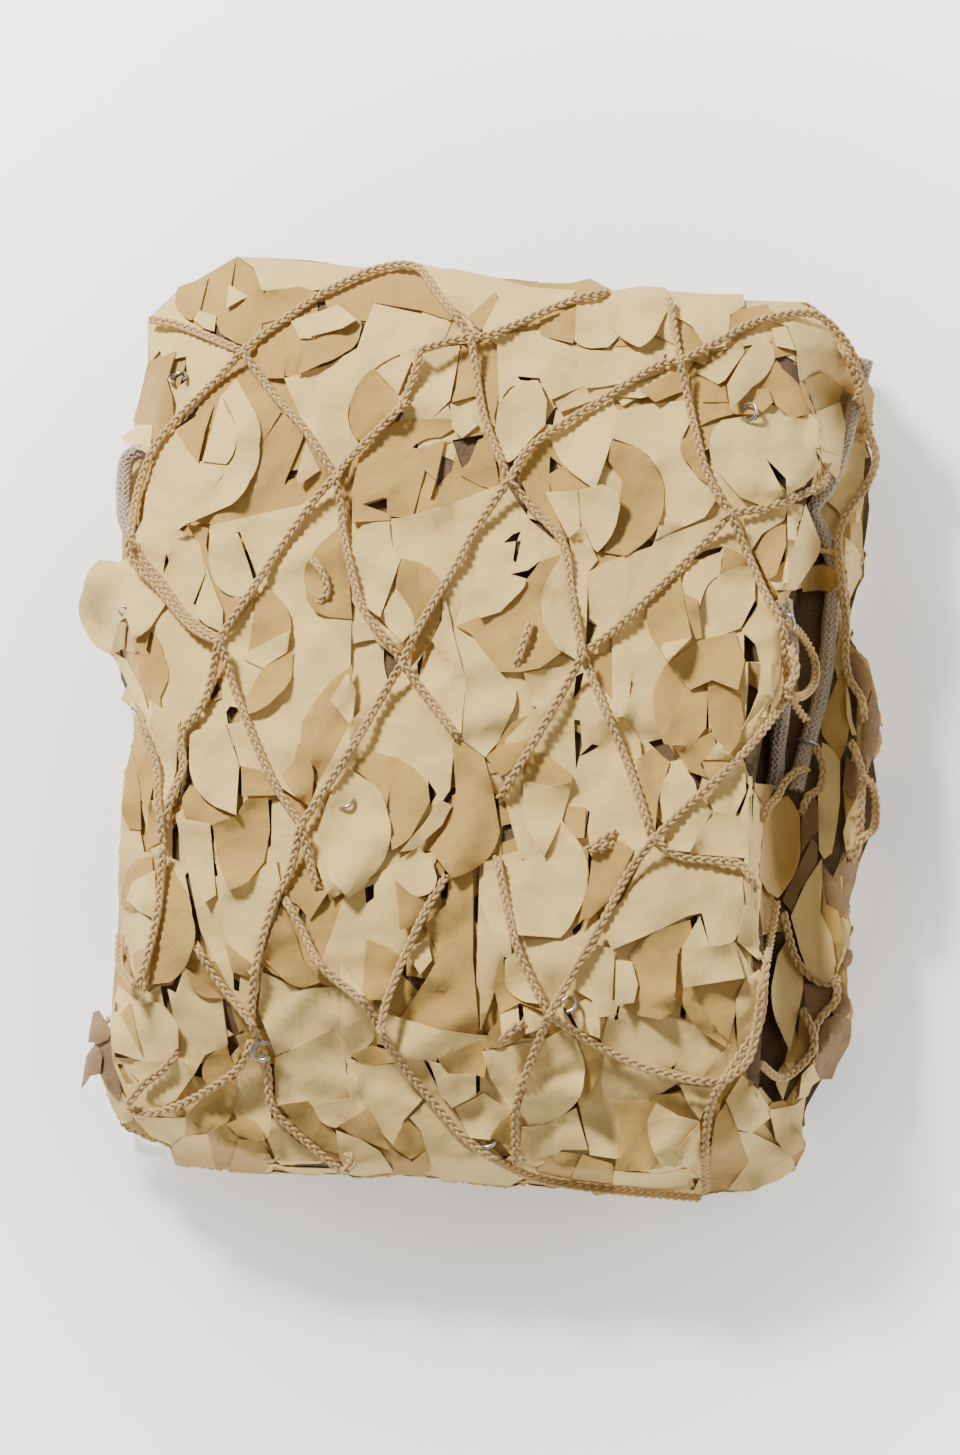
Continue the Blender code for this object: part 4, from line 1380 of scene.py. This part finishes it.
    (sand, 0, (100,1074, 112,1080, 124,1096, 134,1112, 132,1121, 122,1123, 112,1108)),
    # these flaps are tan with painted shade
    (paintedShadeTan, 1, (97,1040, 110,1032, 116,1058, 121,1090, 119,1101, 108,1090, 100,1072)),
    (paintedShadeTan, 2, (93,1012, 99,1010, 112,1031, 108,1040, 98,1044, 88,1042, 89,1033)),
    (paintedShadeTan, 1, (96,1042, 102,1056, 100,1074, 90,1076, 81,1089, 86,1056)),
    (sand, 1, (118,985, 136,1000, 160,985, 190,1000, 240,1040, 238,1060, 200,1120, 176,1146, 135,1118,
     112,1060, 110,1018)),
    (sand, 1, (184,968, 222,998, 228,1045, 205,1055, 192,1078, 176,1060, 172,1005)),
    (tan, 2, (185,968, 208,985, 222,998, 206,998, 190,985), {3: 0.1}),
    (sand, 3, (110,1016, 118,1010, 134,1000, 160,1003, 178,1026, 178,1048, 165,1060, 142,1061, 114,1052)),
    (tan, 4, (120,1014, 130,1003, 140,1052)),
    (sand, 3, (128,1070, 135,1062, 165,1060, 180,1058, 192,1077, 176,1100, 150,1112, 134,1104, 140,1082)),
    (tan, 3, (226,1046, 232,1062, 240,1070, 210,1087, 204,1080, 203,1066), {4: 0.1, 5: 0.1}),
    (sand, 2, (238,1066, 250,1050, 268,1080, 272,1130, 264,1142, 240,1125, 232,1110)),
    (tan, 4, (237,1078, 236,1100, 230,1118, 210,1133, 185,1136, 186,1115, 200,1100), {2: 0.1, 3: 0.1}),
    (sand, 2, (132,1116, 160,1118, 186,1118, 185,1136, 174,1146, 150,1136)),
    (sand, 2, (172,1146, 186,1136, 208,1134, 216,1168, 178,1166)),
    (tan, 2, (208,1133, 226,1122, 240,1140, 234,1166, 216,1170)),
    (tan, 3, (226,1124, 240,1118, 256,1122, 264,1140, 256,1142, 238,1136), {1: 0.1, 2: 0.1}),
    (tan, 1, (238,1140, 266,1142, 276,1160, 262,1174, 228,1172)),
    (sand, 2, (262,972, 300,990, 350,985, 380,1010, 350,1050, 330,1032, 276,1056, 258,1010)),
    (tan, 3, (264,960, 282,978, 304,988, 322,982, 316,960), {1: 0.1}),
    (tan, 2, (304,958, 325,970, 360,996, 322,984)),
    (sand, 3, (275,1058, 330,1030, 348,1052, 358,1084, 358,1098, 310,1106, 275,1106)),
    (tan, 2, (279,1105, 308,1101, 342,1142, 340,1154, 325,1150, 300,1130)),
    (sand, 2, (272,1118, 300,1144, 325,1162, 320,1176, 285,1170, 276,1160, 268,1140)),
    (sand, 3, (312,1105, 350,1098, 372,1104, 362,1116, 336,1128, 318,1118), {1: 0.1, 4: 0.1}),
    # near edge, middle
    (sand, 1, (340,960, 375,1010, 440,1030, 475,1035, 545,1040, 520,1168, 440,1178, 400,1165, 350,1100,
     340,1050)),
    (sand, 3, (342,985, 358,996, 378,1014, 374,1038, 356,1055, 346,1046, 340,1030), {3: 0.08, 4: 0.08}),
    (tan, 2, (350,1054, 372,1046, 396,1052, 398,1062, 372,1066), {4: 0.1}),
    (sand, 3, (350,1062, 372,1067, 400,1063, 424,1098, 404,1120, 394,1146, 378,1130, 356,1090)),
    (tan, 2, (338,1126, 362,1112, 368,1108, 390,1150, 360,1140)),
    (sand, 2, (336,1130, 360,1140, 380,1152, 394,1172, 352,1178, 340,1160)),
    (tan, 3, (408,1120, 418,1130, 425,1150, 410,1160, 392,1146, 402,1126), {1: 0.06}),
    (tan, 1, (390,1150, 412,1162, 426,1152, 430,1172, 394,1174)),
    (sand, 2, (410,1118, 428,1100, 470,1140, 528,1176, 510,1186, 440,1180, 426,1150, 420,1130)),
    (tan, 2, (438,1058, 480,1040, 488,1058, 484,1078, 476,1075, 450,1076, 440,1064)),
    (sand, 3, (430,1062, 440,1064, 448,1074, 476,1074, 476,1096, 452,1108, 440,1095)),
    (sand, 2, (455,1108, 484,1094, 512,1112, 490,1140, 470,1138)),
    (sand, 2, (482,1052, 520,1044, 545,1040, 528,1085, 512,1112, 490,1078)),
    (tan, 2, (482,1048, 500,1048, 520,1040, 536,1025, 500,1020, 490,1030)),
    (sand, 4, (500,1014, 518,1005, 520,1030, 502,1040)),
    (sand, 3, (523,1004, 544,1016, 538,1030, 526,1034)),
    (tan, 2, (500,958, 493,985, 500,1014, 520,1003, 544,1012, 520,985)),
    (sand, 3, (505,960, 520,948, 540,990, 546,1005, 525,1002, 505,985), {4: 0.1}),
    (tan, 1, (490,1138, 500,1122, 515,1115, 518,1150, 500,1142), {1: 0.1}),
    (sand, 2, (575,1035, 640,1056, 690,1076, 650,1100, 622,1160, 590,1155, 580,1110)),
    (tan, 3, (575,1040, 600,1050, 602,1065, 594,1085, 578,1106, 585,1075), {3: 0.05, 4: 0.05}),
    (sand, 5, (545,1040, 562,1030, 576,1040, 583,1058, 584,1078, 577,1102, 550,1122, 530,1128, 520,1110,
     530,1075), {3: 0.06, 4: 0.06, 5: 0.06}),
    (sand, 3, (522,1128, 548,1124, 576,1108, 588,1150, 562,1150, 540,1168, 520,1150)),
    (tan, 2, (536,1170, 560,1152, 582,1155, 568,1182, 545,1182)),
    (tan, 3, (582,1155, 612,1164, 620,1190, 568,1184)),
    (sand, 3, (562,992, 578,990, 576,1004, 566,1006)),
    (sand, 4, (578,1003, 588,998, 600,1010, 600,1038, 590,1035)),
    (sand, 2, (580,940, 615,950, 612,1005, 618,1015, 596,1018, 592,1000, 575,990)),
    # near edge, right
    (sand, 1, (612,1000, 680,1020, 740,1040, 735,1060, 700,1078, 650,1068, 600,1050)),
    (tan, 3, (634,955, 678,950, 674,1012, 660,1020, 640,1016, 622,1008)),
    (sand, 4, (616,960, 632,962, 638,985, 634,1003, 615,1005)),
    (tan, 2, (684,988, 720,982, 745,978, 738,1005, 728,1040, 700,1018)),
    (tan, 5, (684,990, 700,1005, 726,1042, 727,1048, 706,1035, 686,1010), {4: 0.08, 5: 0.1}),
    (sand, 3, (736,1000, 745,980, 765,965, 758,1020, 738,1050)),
    (sand, 4, (682,948, 735,945, 745,978, 720,982, 684,988)),
    (sand, 3, (632,1060, 700,1078, 730,1045, 735,1055, 735,1078, 690,1082)),
    (sand, 3, (680,1085, 714,1088, 700,1120, 688,1104)),
    (tan, 2, (618,1103, 650,1102, 656,1095, 680,1094, 700,1120, 672,1120, 652,1170, 615,1172, 620,1130)),
    (sand, 4, (656,1103, 648,1120, 650,1142, 662,1166, 680,1166, 700,1122, 678,1116), {1: 0.05, 2: 0.05}),
    (sand, 3, (700,1124, 702,1180, 684,1166, 676,1150)),
    (sand, 1, (614,1172, 660,1174, 690,1168, 702,1182, 704,1196, 660,1196, 612,1190)),
    (tan, 3, (716,1118, 726,1103, 738,1130, 749,1162, 728,1190, 708,1192, 712,1140)),
    (sand, 3, (726,1100, 742,1075, 758,1090, 774,1115, 752,1133, 738,1130)),
    (sand, 2, (738,1132, 752,1133, 790,1152, 796,1168, 780,1180, 752,1190, 728,1190, 749,1162)),
    (sand, 4, (770,1110, 795,1105, 806,1096, 802,1125, 804,1148, 790,1158, 776,1140)),
    (sand, 4, (790,935, 800,962, 803,990, 790,1052, 776,1020, 772,985, 778,955), {1: 0.05, 4: 0.05}),
)
# Cuts that stand open in the cloth
slits = (
    (206,572, 210,580, 198,606, 193,604), (236,532, 240,532, 258,578, 254,584),
    (163,570, 166,553, 169,560, 165,573), (244,702, 256,686, 265,668, 259,688),
    (226,712, 230,706, 240,708, 240,722, 228,724), (310,558, 314,556, 320,598, 313,600),
    (146,650, 150,630, 154,634, 150,655), (127,624, 130,624, 142,680, 136,678),
    (136,676, 142,676, 151,718, 146,705), (133,606, 135,606, 138,640, 134,640),
    (208,700, 218,680, 220,690, 213,699), (196,706, 203,700, 198,715), (362,504, 387,496, 387,513),
    (413,562, 420,569, 418,598, 414,590), (424,652, 419,680, 417,664), (503,543, 513,534, 521,531, 517,541),
    (516,541, 521,541, 516,563, 513,560), (510,574, 528,570, 541,560, 528,579),
    (520,620, 535,618, 528,645, 518,645), (514,645, 528,645, 520,668, 511,664),
    (578,492, 581,492, 581,527, 578,527), (586,575, 597,568, 591,592, 588,625),
    (586,620, 598,626, 588,645, 585,642), (631,680, 634,684, 629,700), (573,700, 576,676, 584,672, 580,690),
    (689,560, 706,550, 724,546, 720,552, 700,559), (787,508, 792,513, 792,524, 786,535),
    (773,576, 781,560, 786,545, 784,562, 776,580), (744,634, 755,644, 761,662, 744,662),
    (748,662, 760,664, 759,690, 745,726, 748,690), (756,600, 757,606, 742,629, 740,624),
    (733,668, 742,668, 737,681), (697,606, 701,600, 700,612), (794,592, 800,588, 812,620, 806,650, 796,625),
    (662,496, 664,500, 655,530, 652,526), (138,790, 142,808, 151,852, 144,852, 138,820),
    (148,808, 154,780, 158,808), (160,800, 166,800, 168,815, 162,815), (172,830, 178,820, 180,862, 172,858),
    (185,875, 192,868, 202,900, 200,955, 192,950, 190,900), (238,766, 241,766, 243,806, 236,816, 235,806),
    (210,824, 214,824, 214,850, 211,862), (210,860, 216,864, 218,876, 213,876),
    (268,800, 272,800, 271,845, 268,850), (304,955, 306,960, 303,985, 301,985),
    (344,802, 350,806, 351,817, 343,817), (143,912, 148,920, 148,932, 142,928), (182,724, 185,745, 182,750),
    (300,905, 306,912, 306,925, 298,915), (336,862, 340,858, 341,868, 337,876),
    (391,762, 395,760, 389,800, 386,800), (450,742, 456,760, 459,778, 455,776), (428,780, 437,794, 430,806),
    (438,800, 452,795, 452,808, 436,820, 428,812), (493,770, 497,790, 502,830, 498,832),
    (501,826, 518,822, 520,856, 496,856), (474,870, 479,872, 482,905, 478,925, 474,920),
    (365,888, 374,884, 374,898, 366,904), (437,880, 448,868, 450,895, 442,900),
    (366,940, 369,940, 365,1000, 362,1000), (427,948, 431,950, 430,958, 426,956),
    (574,720, 580,720, 582,745, 576,770), (578,757, 592,744, 600,746, 586,754),
    (544,857, 560,824, 562,828, 547,858), (584,838, 588,810, 590,812, 586,838), (588,848, 592,858, 588,890),
    (572,930, 585,918, 580,930, 574,936), (648,742, 665,738, 678,760, 668,762),
    (685,762, 694,768, 702,778, 698,795, 690,775), (712,724, 718,740, 712,748, 709,735),
    (746,782, 750,786, 740,814, 734,812), (728,815, 738,816, 748,832, 749,845, 744,838),
    (745,838, 749,836, 746,858, 743,856), (664,835, 668,838, 672,848, 665,842),
    (743,872, 746,880, 746,915, 742,930, 743,900), (686,920, 697,915, 698,925, 690,940, 685,938),
    (700,916, 704,920, 708,948, 706,948), (734,942, 738,945, 742,965, 738,958),
    (761,862, 764,884, 778,892, 766,893, 758,884), (640,790, 646,800, 658,828, 654,830, 644,812),
    (705,692, 709,690, 708,728, 704,728), (115,1000, 119,1005, 118,1014, 114,1012),
    (114,1053, 128,1052, 129,1058, 116,1058), (117,1064, 122,1064, 134,1084, 126,1084),
    (132,1010, 135,1010, 142,1048, 139,1050), (181,1062, 184,1062, 192,1077, 188,1074),
    (200,1064, 206,1062, 204,1078, 194,1076), (223,998, 230,1004, 240,1035, 228,1038),
    (226,1038, 244,1030, 240,1045, 230,1057), (233,971, 241,971, 239,992, 234,990),
    (188,1135, 196,1134, 194,1142, 189,1142), (280,1054, 288,1052, 288,1074, 277,1068),
    (270,1064, 274,1064, 275,1095, 271,1092), (345,1056, 350,1076, 345,1078, 344,1066),
    (160,985, 166,983, 174,1018, 164,1006), (208,1136, 214,1148, 216,1166, 212,1152),
    (265,1146, 277,1158, 272,1160), (350,1058, 370,1044, 372,1062, 358,1062),
    (377,1044, 386,1046, 388,1056, 378,1056), (404,1122, 416,1134, 424,1148, 420,1140),
    (423,1060, 427,1060, 450,1106, 446,1104), (437,1058, 441,1058, 440,1068, 436,1066),
    (476,1074, 480,1076, 480,1092, 475,1095), (482,1056, 485,1058, 488,1066, 486,1066),
    (574,1040, 580,1046, 585,1060, 582,1060), (574,1104, 582,1096, 578,1106, 565,1114),
    (485,1142, 496,1138, 512,1156, 504,1160), (520,1155, 530,1158, 538,1170, 526,1168),
    (516,1007, 521,1004, 524,1015, 520,1022), (562,1006, 570,1012, 580,1032, 572,1024),
    (380,990, 386,990, 385,998, 380,998), (380,1152, 392,1160, 392,1168, 386,1166),
    (577,1152, 587,1152, 584,1160), (622,1172, 631,1155, 640,1160, 642,1174),
    (632,1102, 648,1080, 660,1078, 658,1096), (658,1080, 676,1084, 682,1090, 660,1096),
    (665,1073, 678,1062, 672,1072), (681,1004, 686,1012, 686,1020, 680,1018),
    (688,1178, 700,1178, 694,1190, 690,1190), (750,1132, 762,1126, 770,1142, 762,1144),
    (776,990, 772,985, 782,1050, 780,1056, 768,1055, 766,1010), (768,1052, 780,1056, 778,1075, 768,1068),
    (734,1010, 737,1010, 737,1035, 735,1035), (756,1076, 762,1086, 758,1090, 752,1086),
    (782,1150, 792,1156, 796,1166, 790,1168), (796,1010, 800,1010, 796,1058, 786,1058),
    (670,1166, 680,1165, 672,1170), (618,1006, 620,1006, 618,1020, 614,1020),
    (803,985, 808,990, 812,1020, 806,1010), (176,388, 170,372, 168,360, 186,356, 187,380),
    (210,290, 228,268, 232,285, 216,296), (230,268, 252,264, 250,276, 232,282),
    (280,310, 303,298, 300,304, 284,312), (176,430, 190,418, 207,410, 204,428, 198,456),
    (176,535, 174,530, 214,488, 216,492), (282,474, 296,474, 294,486, 284,484),
    (436,488, 444,444, 458,436, 452,470), (452,440, 484,434, 478,455, 462,468),
    (517,376, 540,378, 540,382, 520,380), (544,430, 548,405, 557,402, 552,432), (550,456, 562,466, 549,474),
    (757,308, 776,302, 796,312, 772,316), (767,458, 776,464, 787,480, 788,494, 776,478),
    (690,466, 702,470, 706,490, 696,484), (784,330, 788,328, 800,350, 797,352),
    (796,352, 802,354, 802,380, 799,384), (368,282, 378,284, 376,302, 368,296),
    (375,371, 402,356, 432,345, 404,360), (745,750, 752,740, 766,740, 768,782, 752,782),
    (782,740, 798,728, 800,772, 784,776),
)
# The cords over it, in the order in which they lie
cordRoutes = (
    (150,319, 175,324, 205,335, 242,351),
    (242,351, 267,331, 321,294, 375,269, 415,266, 436,291, 471,336),
    (242,351, 214,382, 184,411, 155,446, 138,489, 130,535),
    (242,351, 273,393, 305,430, 335,476),
    (335,476, 353,454, 396,411, 412,380, 420,350),
    (335,476, 313,502, 278,551, 219,639),
    (335,476, 341,505, 344,535, 361,604, 388,642, 402,663),
    (420,350, 440,344, 471,336, 488,335, 516,324, 572,300, 608,292),
    (471,336, 480,397, 488,428, 509,480),
    (509,480, 525,453, 547,434, 606,397, 656,366, 680,361),
    (680,361, 676,340, 672,318, 669,298),
    (680,361, 713,344, 757,321, 808,313, 832,326, 852,352, 860,380),
    (680,361, 693,420, 707,473, 730,513),
    (730,513, 769,507, 816,487, 828,464),
    (730,513, 704,543, 656,590, 617,627, 583,654),
    (730,513, 743,543, 763,588, 783,630, 788,685),
    (509,480, 536,512, 564,545, 572,596, 583,654),
    (509,480, 474,532, 455,567, 423,620, 402,663),
    (130,535, 136,552, 160,580, 187,618, 219,639),
    (128,540, 132,560, 158,588, 190,626, 219,642),
    (219,639, 206,698, 182,733, 183,768, 171,797, 163,843),
    (140,722, 156,765, 158,800, 163,843),
    (219,639, 241,706, 273,781, 301,825),
    (402,663, 383,695, 348,754, 301,825),
    (402,663, 428,698, 455,733, 462,742),
    (583,654, 600,697, 628,764, 653,840),
    (583,654, 572,675, 544,725, 499,800),
    (653,840, 684,809, 741,756, 780,708, 787,688),
    (653,840, 679,857, 710,861, 741,865, 757,890),
    (301,825, 290,870, 273,905, 256,966, 251,1022),
    (301,825, 313,874, 321,893),
    (284,898, 299,924, 321,966, 363,1003, 381,1031),
    (381,1031, 388,997, 419,924, 446,876),
    (381,1031, 397,1059, 425,1093, 461,1135, 500,1163, 536,1178, 569,1185, 628,1192, 700,1198),
    (163,848, 158,910, 147,958, 137,989),
    (120,935, 120,966, 133,986),
    (195,944, 217,980, 251,1022),
    (251,1022, 262,1050, 268,1073, 273,1109, 304,1140, 341,1171),
    (251,1040, 240,1067, 200,1095, 158,1112, 127,1109),
    (127,1105, 144,1084, 165,1068, 178,1050),
    (497,857, 508,910, 519,952, 549,1015),
    (549,1015, 572,975, 600,927, 628,874, 653,840),
    (549,1015, 530,1064, 516,1109, 516,1163),
    (549,1015, 581,1036, 634,1064, 684,1079, 722,1083),
    (722,1083, 710,1107, 705,1149, 706,1192),
    (722,1083, 741,1053, 760,1022, 766,966, 777,902),
    (722,1083, 748,1060, 758,1020, 762,980),
    (783,913, 797,961, 822,983, 839,977),
    (836,980, 836,1000, 816,1025, 814,1056),
    (802,1010, 812,1030, 811,1053, 783,1078, 760,1064),
    (787,690, 797,708, 806,720),
    (785,622, 797,630, 808,645, 815,662, 815,680, 808,692, 799,697, 786,694),
    (787,690, 796,670, 790,645),
    (814,744, 823,765, 820,788, 808,796, 801,815),
    (808,768, 795,772, 784,783, 777,797, 768,806, 763,822),
    (842,590, 846,625, 845,655, 850,680, 862,700, 864,725),
    (850,742, 857,755, 862,775, 861,800, 860,830, 857,846, 850,862),
    (862,776, 872,785, 876,805, 874,828, 863,838, 857,846),
    (846,350, 858,385, 868,430, 876,457, 868,482, 854,502, 845,516, 838,537, 839,560, 842,590),
    (840,345, 856,370, 862,384, 856,400),
    (502,1042, 512,1030, 525,1024),
    (590,850, 602,840, 617,832),
    (586,850, 600,848, 613,845),
    (312,558, 322,572, 327,592, 318,604),
    (531,622, 523,645, 516,668),
    (383,425, 398,410, 408,402),
    (342,1172, 352,1165, 346,1150),
)
looseWithin = 7               # an end that has no other knot within this many pixels sinks in
seeds = {"top": 5, "sides": 11}           # the sides' go up by one from side to side
underLeaves = (
    Strewn("web", (90, 60), 0, 0.7, 0.3, 1.5, (1.0, 1.3)),
    Strewn("web", (60, 45), 0, 0.7, 0.3, 1.5, (0.8, 1.1)),
)


def layLeaves(table, slits=()):
    for face, lift, flatCorners, *bows in table:
        bow = bows[0] if bows else {}
        corners = [(x, y, bow.get(k, 0)) for k, (x, y) in enumerate(pairs(flatCorners))]
        garnishTop.leaf(top, face, lift, corners, chance, slits)


chance = random.Random(seeds["top"])
top.clear(top.solid, map(pairs, hollows))
garnishUnder = Cloth("garnish_under", grain=2.2)
for row in underLeaves:
    strew(garnishUnder, top, row, chance, slits)
garnishUnder = garnishUnder.finish()

garnishTop = Cloth("garnish_top")
lineEdge(garnishTop, top, chance)
layLeaves(channel)
ropes, ropePaths = {}, {}
for side, route in ropeRoutes.items():
    ropes[side], ropePaths[side] = layRope("braided_rope_" + side, top, pairs(route))
    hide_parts("border_rope_" + side)
layLeaves(overRope)
layLeaves(leaves, slits)
garnishTop = garnishTop.finish()

netCords = Yarns("net_cords", [netYarn], cord["yarn"], cord["step"])
routes = [pairs(route) for route in cordRoutes]
knots = [point for route in routes for point in route]
for route in routes:
    ends = [k for k in (0, -1) if sum(math.dist(route[k], other) < looseWithin for other in knots) == 1]
    layCord(netCords, top, route, loose=ends)
netCords = netCords.piece("net_cord")
print("top dressed")


# The sides: each is a bed of its own, and its cloth stays where the top's hides it from above

beside = {"up": (0, 0, 1), "deepest": -0.05, "spacing": 150, "grain": 1.2}
sides = {                     # spans in metres, across and up; spacing of the cords in pixels
    "bottom": {"right": (1, 0, 0), "up": (0, -1, 0), "aim": (0, 0, 0.004), "span": (0.37, 0.45),
               "deepest": -0.03, "spacing": 300, "grain": 2.2},
    "near": {**beside, "right": (1, 0, 0), "aim": (0, -0.20, 0.058), "span": (0.40, 0.118)},
    "far": {**beside, "right": (-1, 0, 0), "aim": (0, 0.20, 0.062), "span": (0.40, 0.126)},
    "left": {**beside, "right": (0, -1, 0), "aim": (-0.17, 0, 0.058), "span": (0.47, 0.118)},
    "right": {**beside, "right": (0, 1, 0), "aim": (0.16, 0, 0.058), "span": (0.47, 0.118)},
}
pressedLeaves = (
    Strewn("web", (46, 20), 1, 0.45, 0.35, 0.4, (0.8, 1.15)),
    Strewn("web", (46, 20), 1, 0.45, 0.3, 0.4, (0.6, 0.9)),
    Strewn("lobe", (40, 20), 1, 0.45, 0.5, 0.8, (0.6, 0.9)),
    Strewn("web", (24, 14), 0, 0.45, 0.4, 0.6, (0.3, 0.45)),
)
liftedLeaves = (
    Strewn("lobe", (90, 48), 5, 0.5, 0, 0.9, (0.8, 1.15)),
    Strewn("petal", (90, 55), 5, 0.45, 0, 1.4, (0.6, 1.0)),
    Strewn("crescent", (110, 60), 4, 0.5, 0, 1.4, (0.6, 0.95)),
    Strewn("strip", (110, 60), 4, 0.5, 0, 1.5, (0.6, 0.9)),
)
# The sides' cloth stays out of the channel and from under the flaps that stand out at the left
openings = (
    (785,560, 838,560, 838,1080, 785,1080),
    (40,540, 106,540, 106,690, 40,690),
    (40,980, 99,980, 104,1110, 40,1110),
)
crossing = {
    "slant": 1.1,             # how far a cord runs across for each pixel it runs down
    "start": 0.25,            # of the spacing
    "stray": 0.12,
    "steps": 8,
    "coarser": 2,             # times the step of the top's cords
    "settle": 25,
    "wander": (5, 9, 4, 7),   # pixels across, and how often, then pixels down
    "margin": (12, 14, 16),   # pixels kept free at the sides, the top and the bottom
    "room": 0.002,            # between a cord's ground and its ceiling
}


def crossed(bed, yarns, chance, spacing):   # cords both ways, where there is room for them
    width, height = bed.size
    reach, stray = height * crossing["slant"], crossing["stray"]
    side, above, below = crossing["margin"]
    aside, often, along, oftenDown = crossing["wander"]
    for way in (1, -1):
        for k in range(int((width + reach) / spacing) + 1):
            start = (k + crossing["start"] + chance.uniform(-stray, stray)) * spacing
            start -= reach if way > 0 else 0
            route = []
            for step in range(crossing["steps"] + 1):
                t = step / crossing["steps"]
                x = start + way * reach * t + aside * math.sin(often * t + k)
                y = above + (height - above - below) * t + along * math.sin(oftenDown * t + 2 * k)
                if not side < x < width - side:
                    continue
                cell = (int(y / bed.cell), int(x / bed.cell))
                if bed.solid[cell] and bed.ceiling[cell] > bed.heights[cell] + crossing["room"]:
                    route.append((x, y))
            if len(route) > 2:
                layCord(yarns, bed, route, crossing["settle"])


def dressSide(name, seed, surface, yarns):
    row = sides[name]
    chance = random.Random(seed)
    right, up = Vector(row["right"]), Vector(row["up"])
    size = [span / pixel for span in row["span"]]
    middle = [span / 2 for span in size]
    bed = Bed((right, up, right.cross(up)), row["aim"], middle, size, deepest=row["deepest"],
              fullness=0.8)
    bed.survey(surface, *bedding["sideReach"], len(core.data.polygons), bedding["bridge"])
    cloth = Cloth("garnish_" + name, row["grain"])
    bed.keepUnder(top)
    for strewn in pressedLeaves:
        strew(cloth, bed, strewn, chance)
    crossed(bed, yarns, chance, row["spacing"])
    bed.bare[:] = True
    for strewn in liftedLeaves if name != "bottom" else ():
        strew(cloth, bed, strewn, chance)
    return cloth.finish()


top.clear(top.roof, map(pairs, openings))
sideCords = Yarns("side_cords", [netYarn], cord["yarn"], cord["step"] * crossing["coarser"])
dressed = [core, garnishUnder, garnishTop, netCords, *ropes.values()]   # the core's faces come first
for seed, name in enumerate(sides, seeds["sides"]):
    dressed.append(dressSide(name, seed, surfaceOf(*dressed), sideCords))
sideCords.piece("net_cord")
print("sides dressed")

for clip in clipRows:
    layClip(top, clip)
gripRope(top, ropePaths["right"])
print("clips closed")


# Floor and light

studio = {
    "floorSize": 6,
    "floorTone": (250, 249, 247),
    "floorRoughness": 0.9,
    # the floor glows though it is no lamp: painted light that keeps it white and lights the pack's sides from
    # below
    "floorGlow": 1.9,
    # painted shadow: a darker halo on the floor round the pack, which also throws less light up onto its
    # sides
    "paintedShadowPatch": (4.2, 3.6),   # the floor under the pack glows less: one over its half width and length
    "paintedShadowEdge": (0.85, 1.1),   # where the dim patch ends, and how fast
    "paintedShadowGlow": 0.30,
    "world": 0.22,
    "target": (0, 0, 0.05),
    "lamps": (("key", (-0.80, 0.98, 1.46), 0.36, 61.0), ("fill", (1.3, 0.0, 1.3), 1.2, 5.5)),
}


def addFloor():
    mesh = bmesh.new()
    bmesh.ops.create_grid(mesh, x_segments=1, y_segments=1, size=studio["floorSize"] / 2)
    data = bpy.data.meshes.new("floor")
    mesh.to_mesh(data)
    mesh.free()
    paint = Paint("floor_white")
    far = paint.node("ShaderNodeVectorMath", {"operation": "LENGTH"},
                     {0: paint.stretched(paint.objectPlace(), *studio["paintedShadowPatch"])}, 1)
    edge, speed = studio["paintedShadowEdge"]
    # the floor's glow falls to the painted shadow's tone under and round the pack
    paintedShadowTone = (*[studio["paintedShadowGlow"]] * 3, 1)
    paint.set(Base_Color=colour(*studio["floorTone"]), Roughness=studio["floorRoughness"],
              Emission_Strength=studio["floorGlow"],
              Emission_Color=paint.mix((far - edge) * speed, paintedShadowTone, (1, 1, 1, 1)))
    data.materials.append(paint.material)
    added("floor", data)


def addLight():
    world = bpy.data.worlds.new("world")
    world.use_nodes = True
    world.node_tree.nodes["Background"].inputs["Color"].default_value = (1, 1, 1, 1)
    world.node_tree.nodes["Background"].inputs["Strength"].default_value = studio["world"]
    scene.world = world
    for name, place, size, power in studio["lamps"]:
        data = bpy.data.lights.new(name, "AREA")
        data.shape = "DISK"
        data.size = size
        data.energy = power
        lamp = added(name, data)
        lamp.location = place
        lamp.rotation_euler = (Vector(studio["target"]) - Vector(place)).to_track_quat("-Z", "Y").to_euler()


addFloor()
addLight()
print("studio lit")
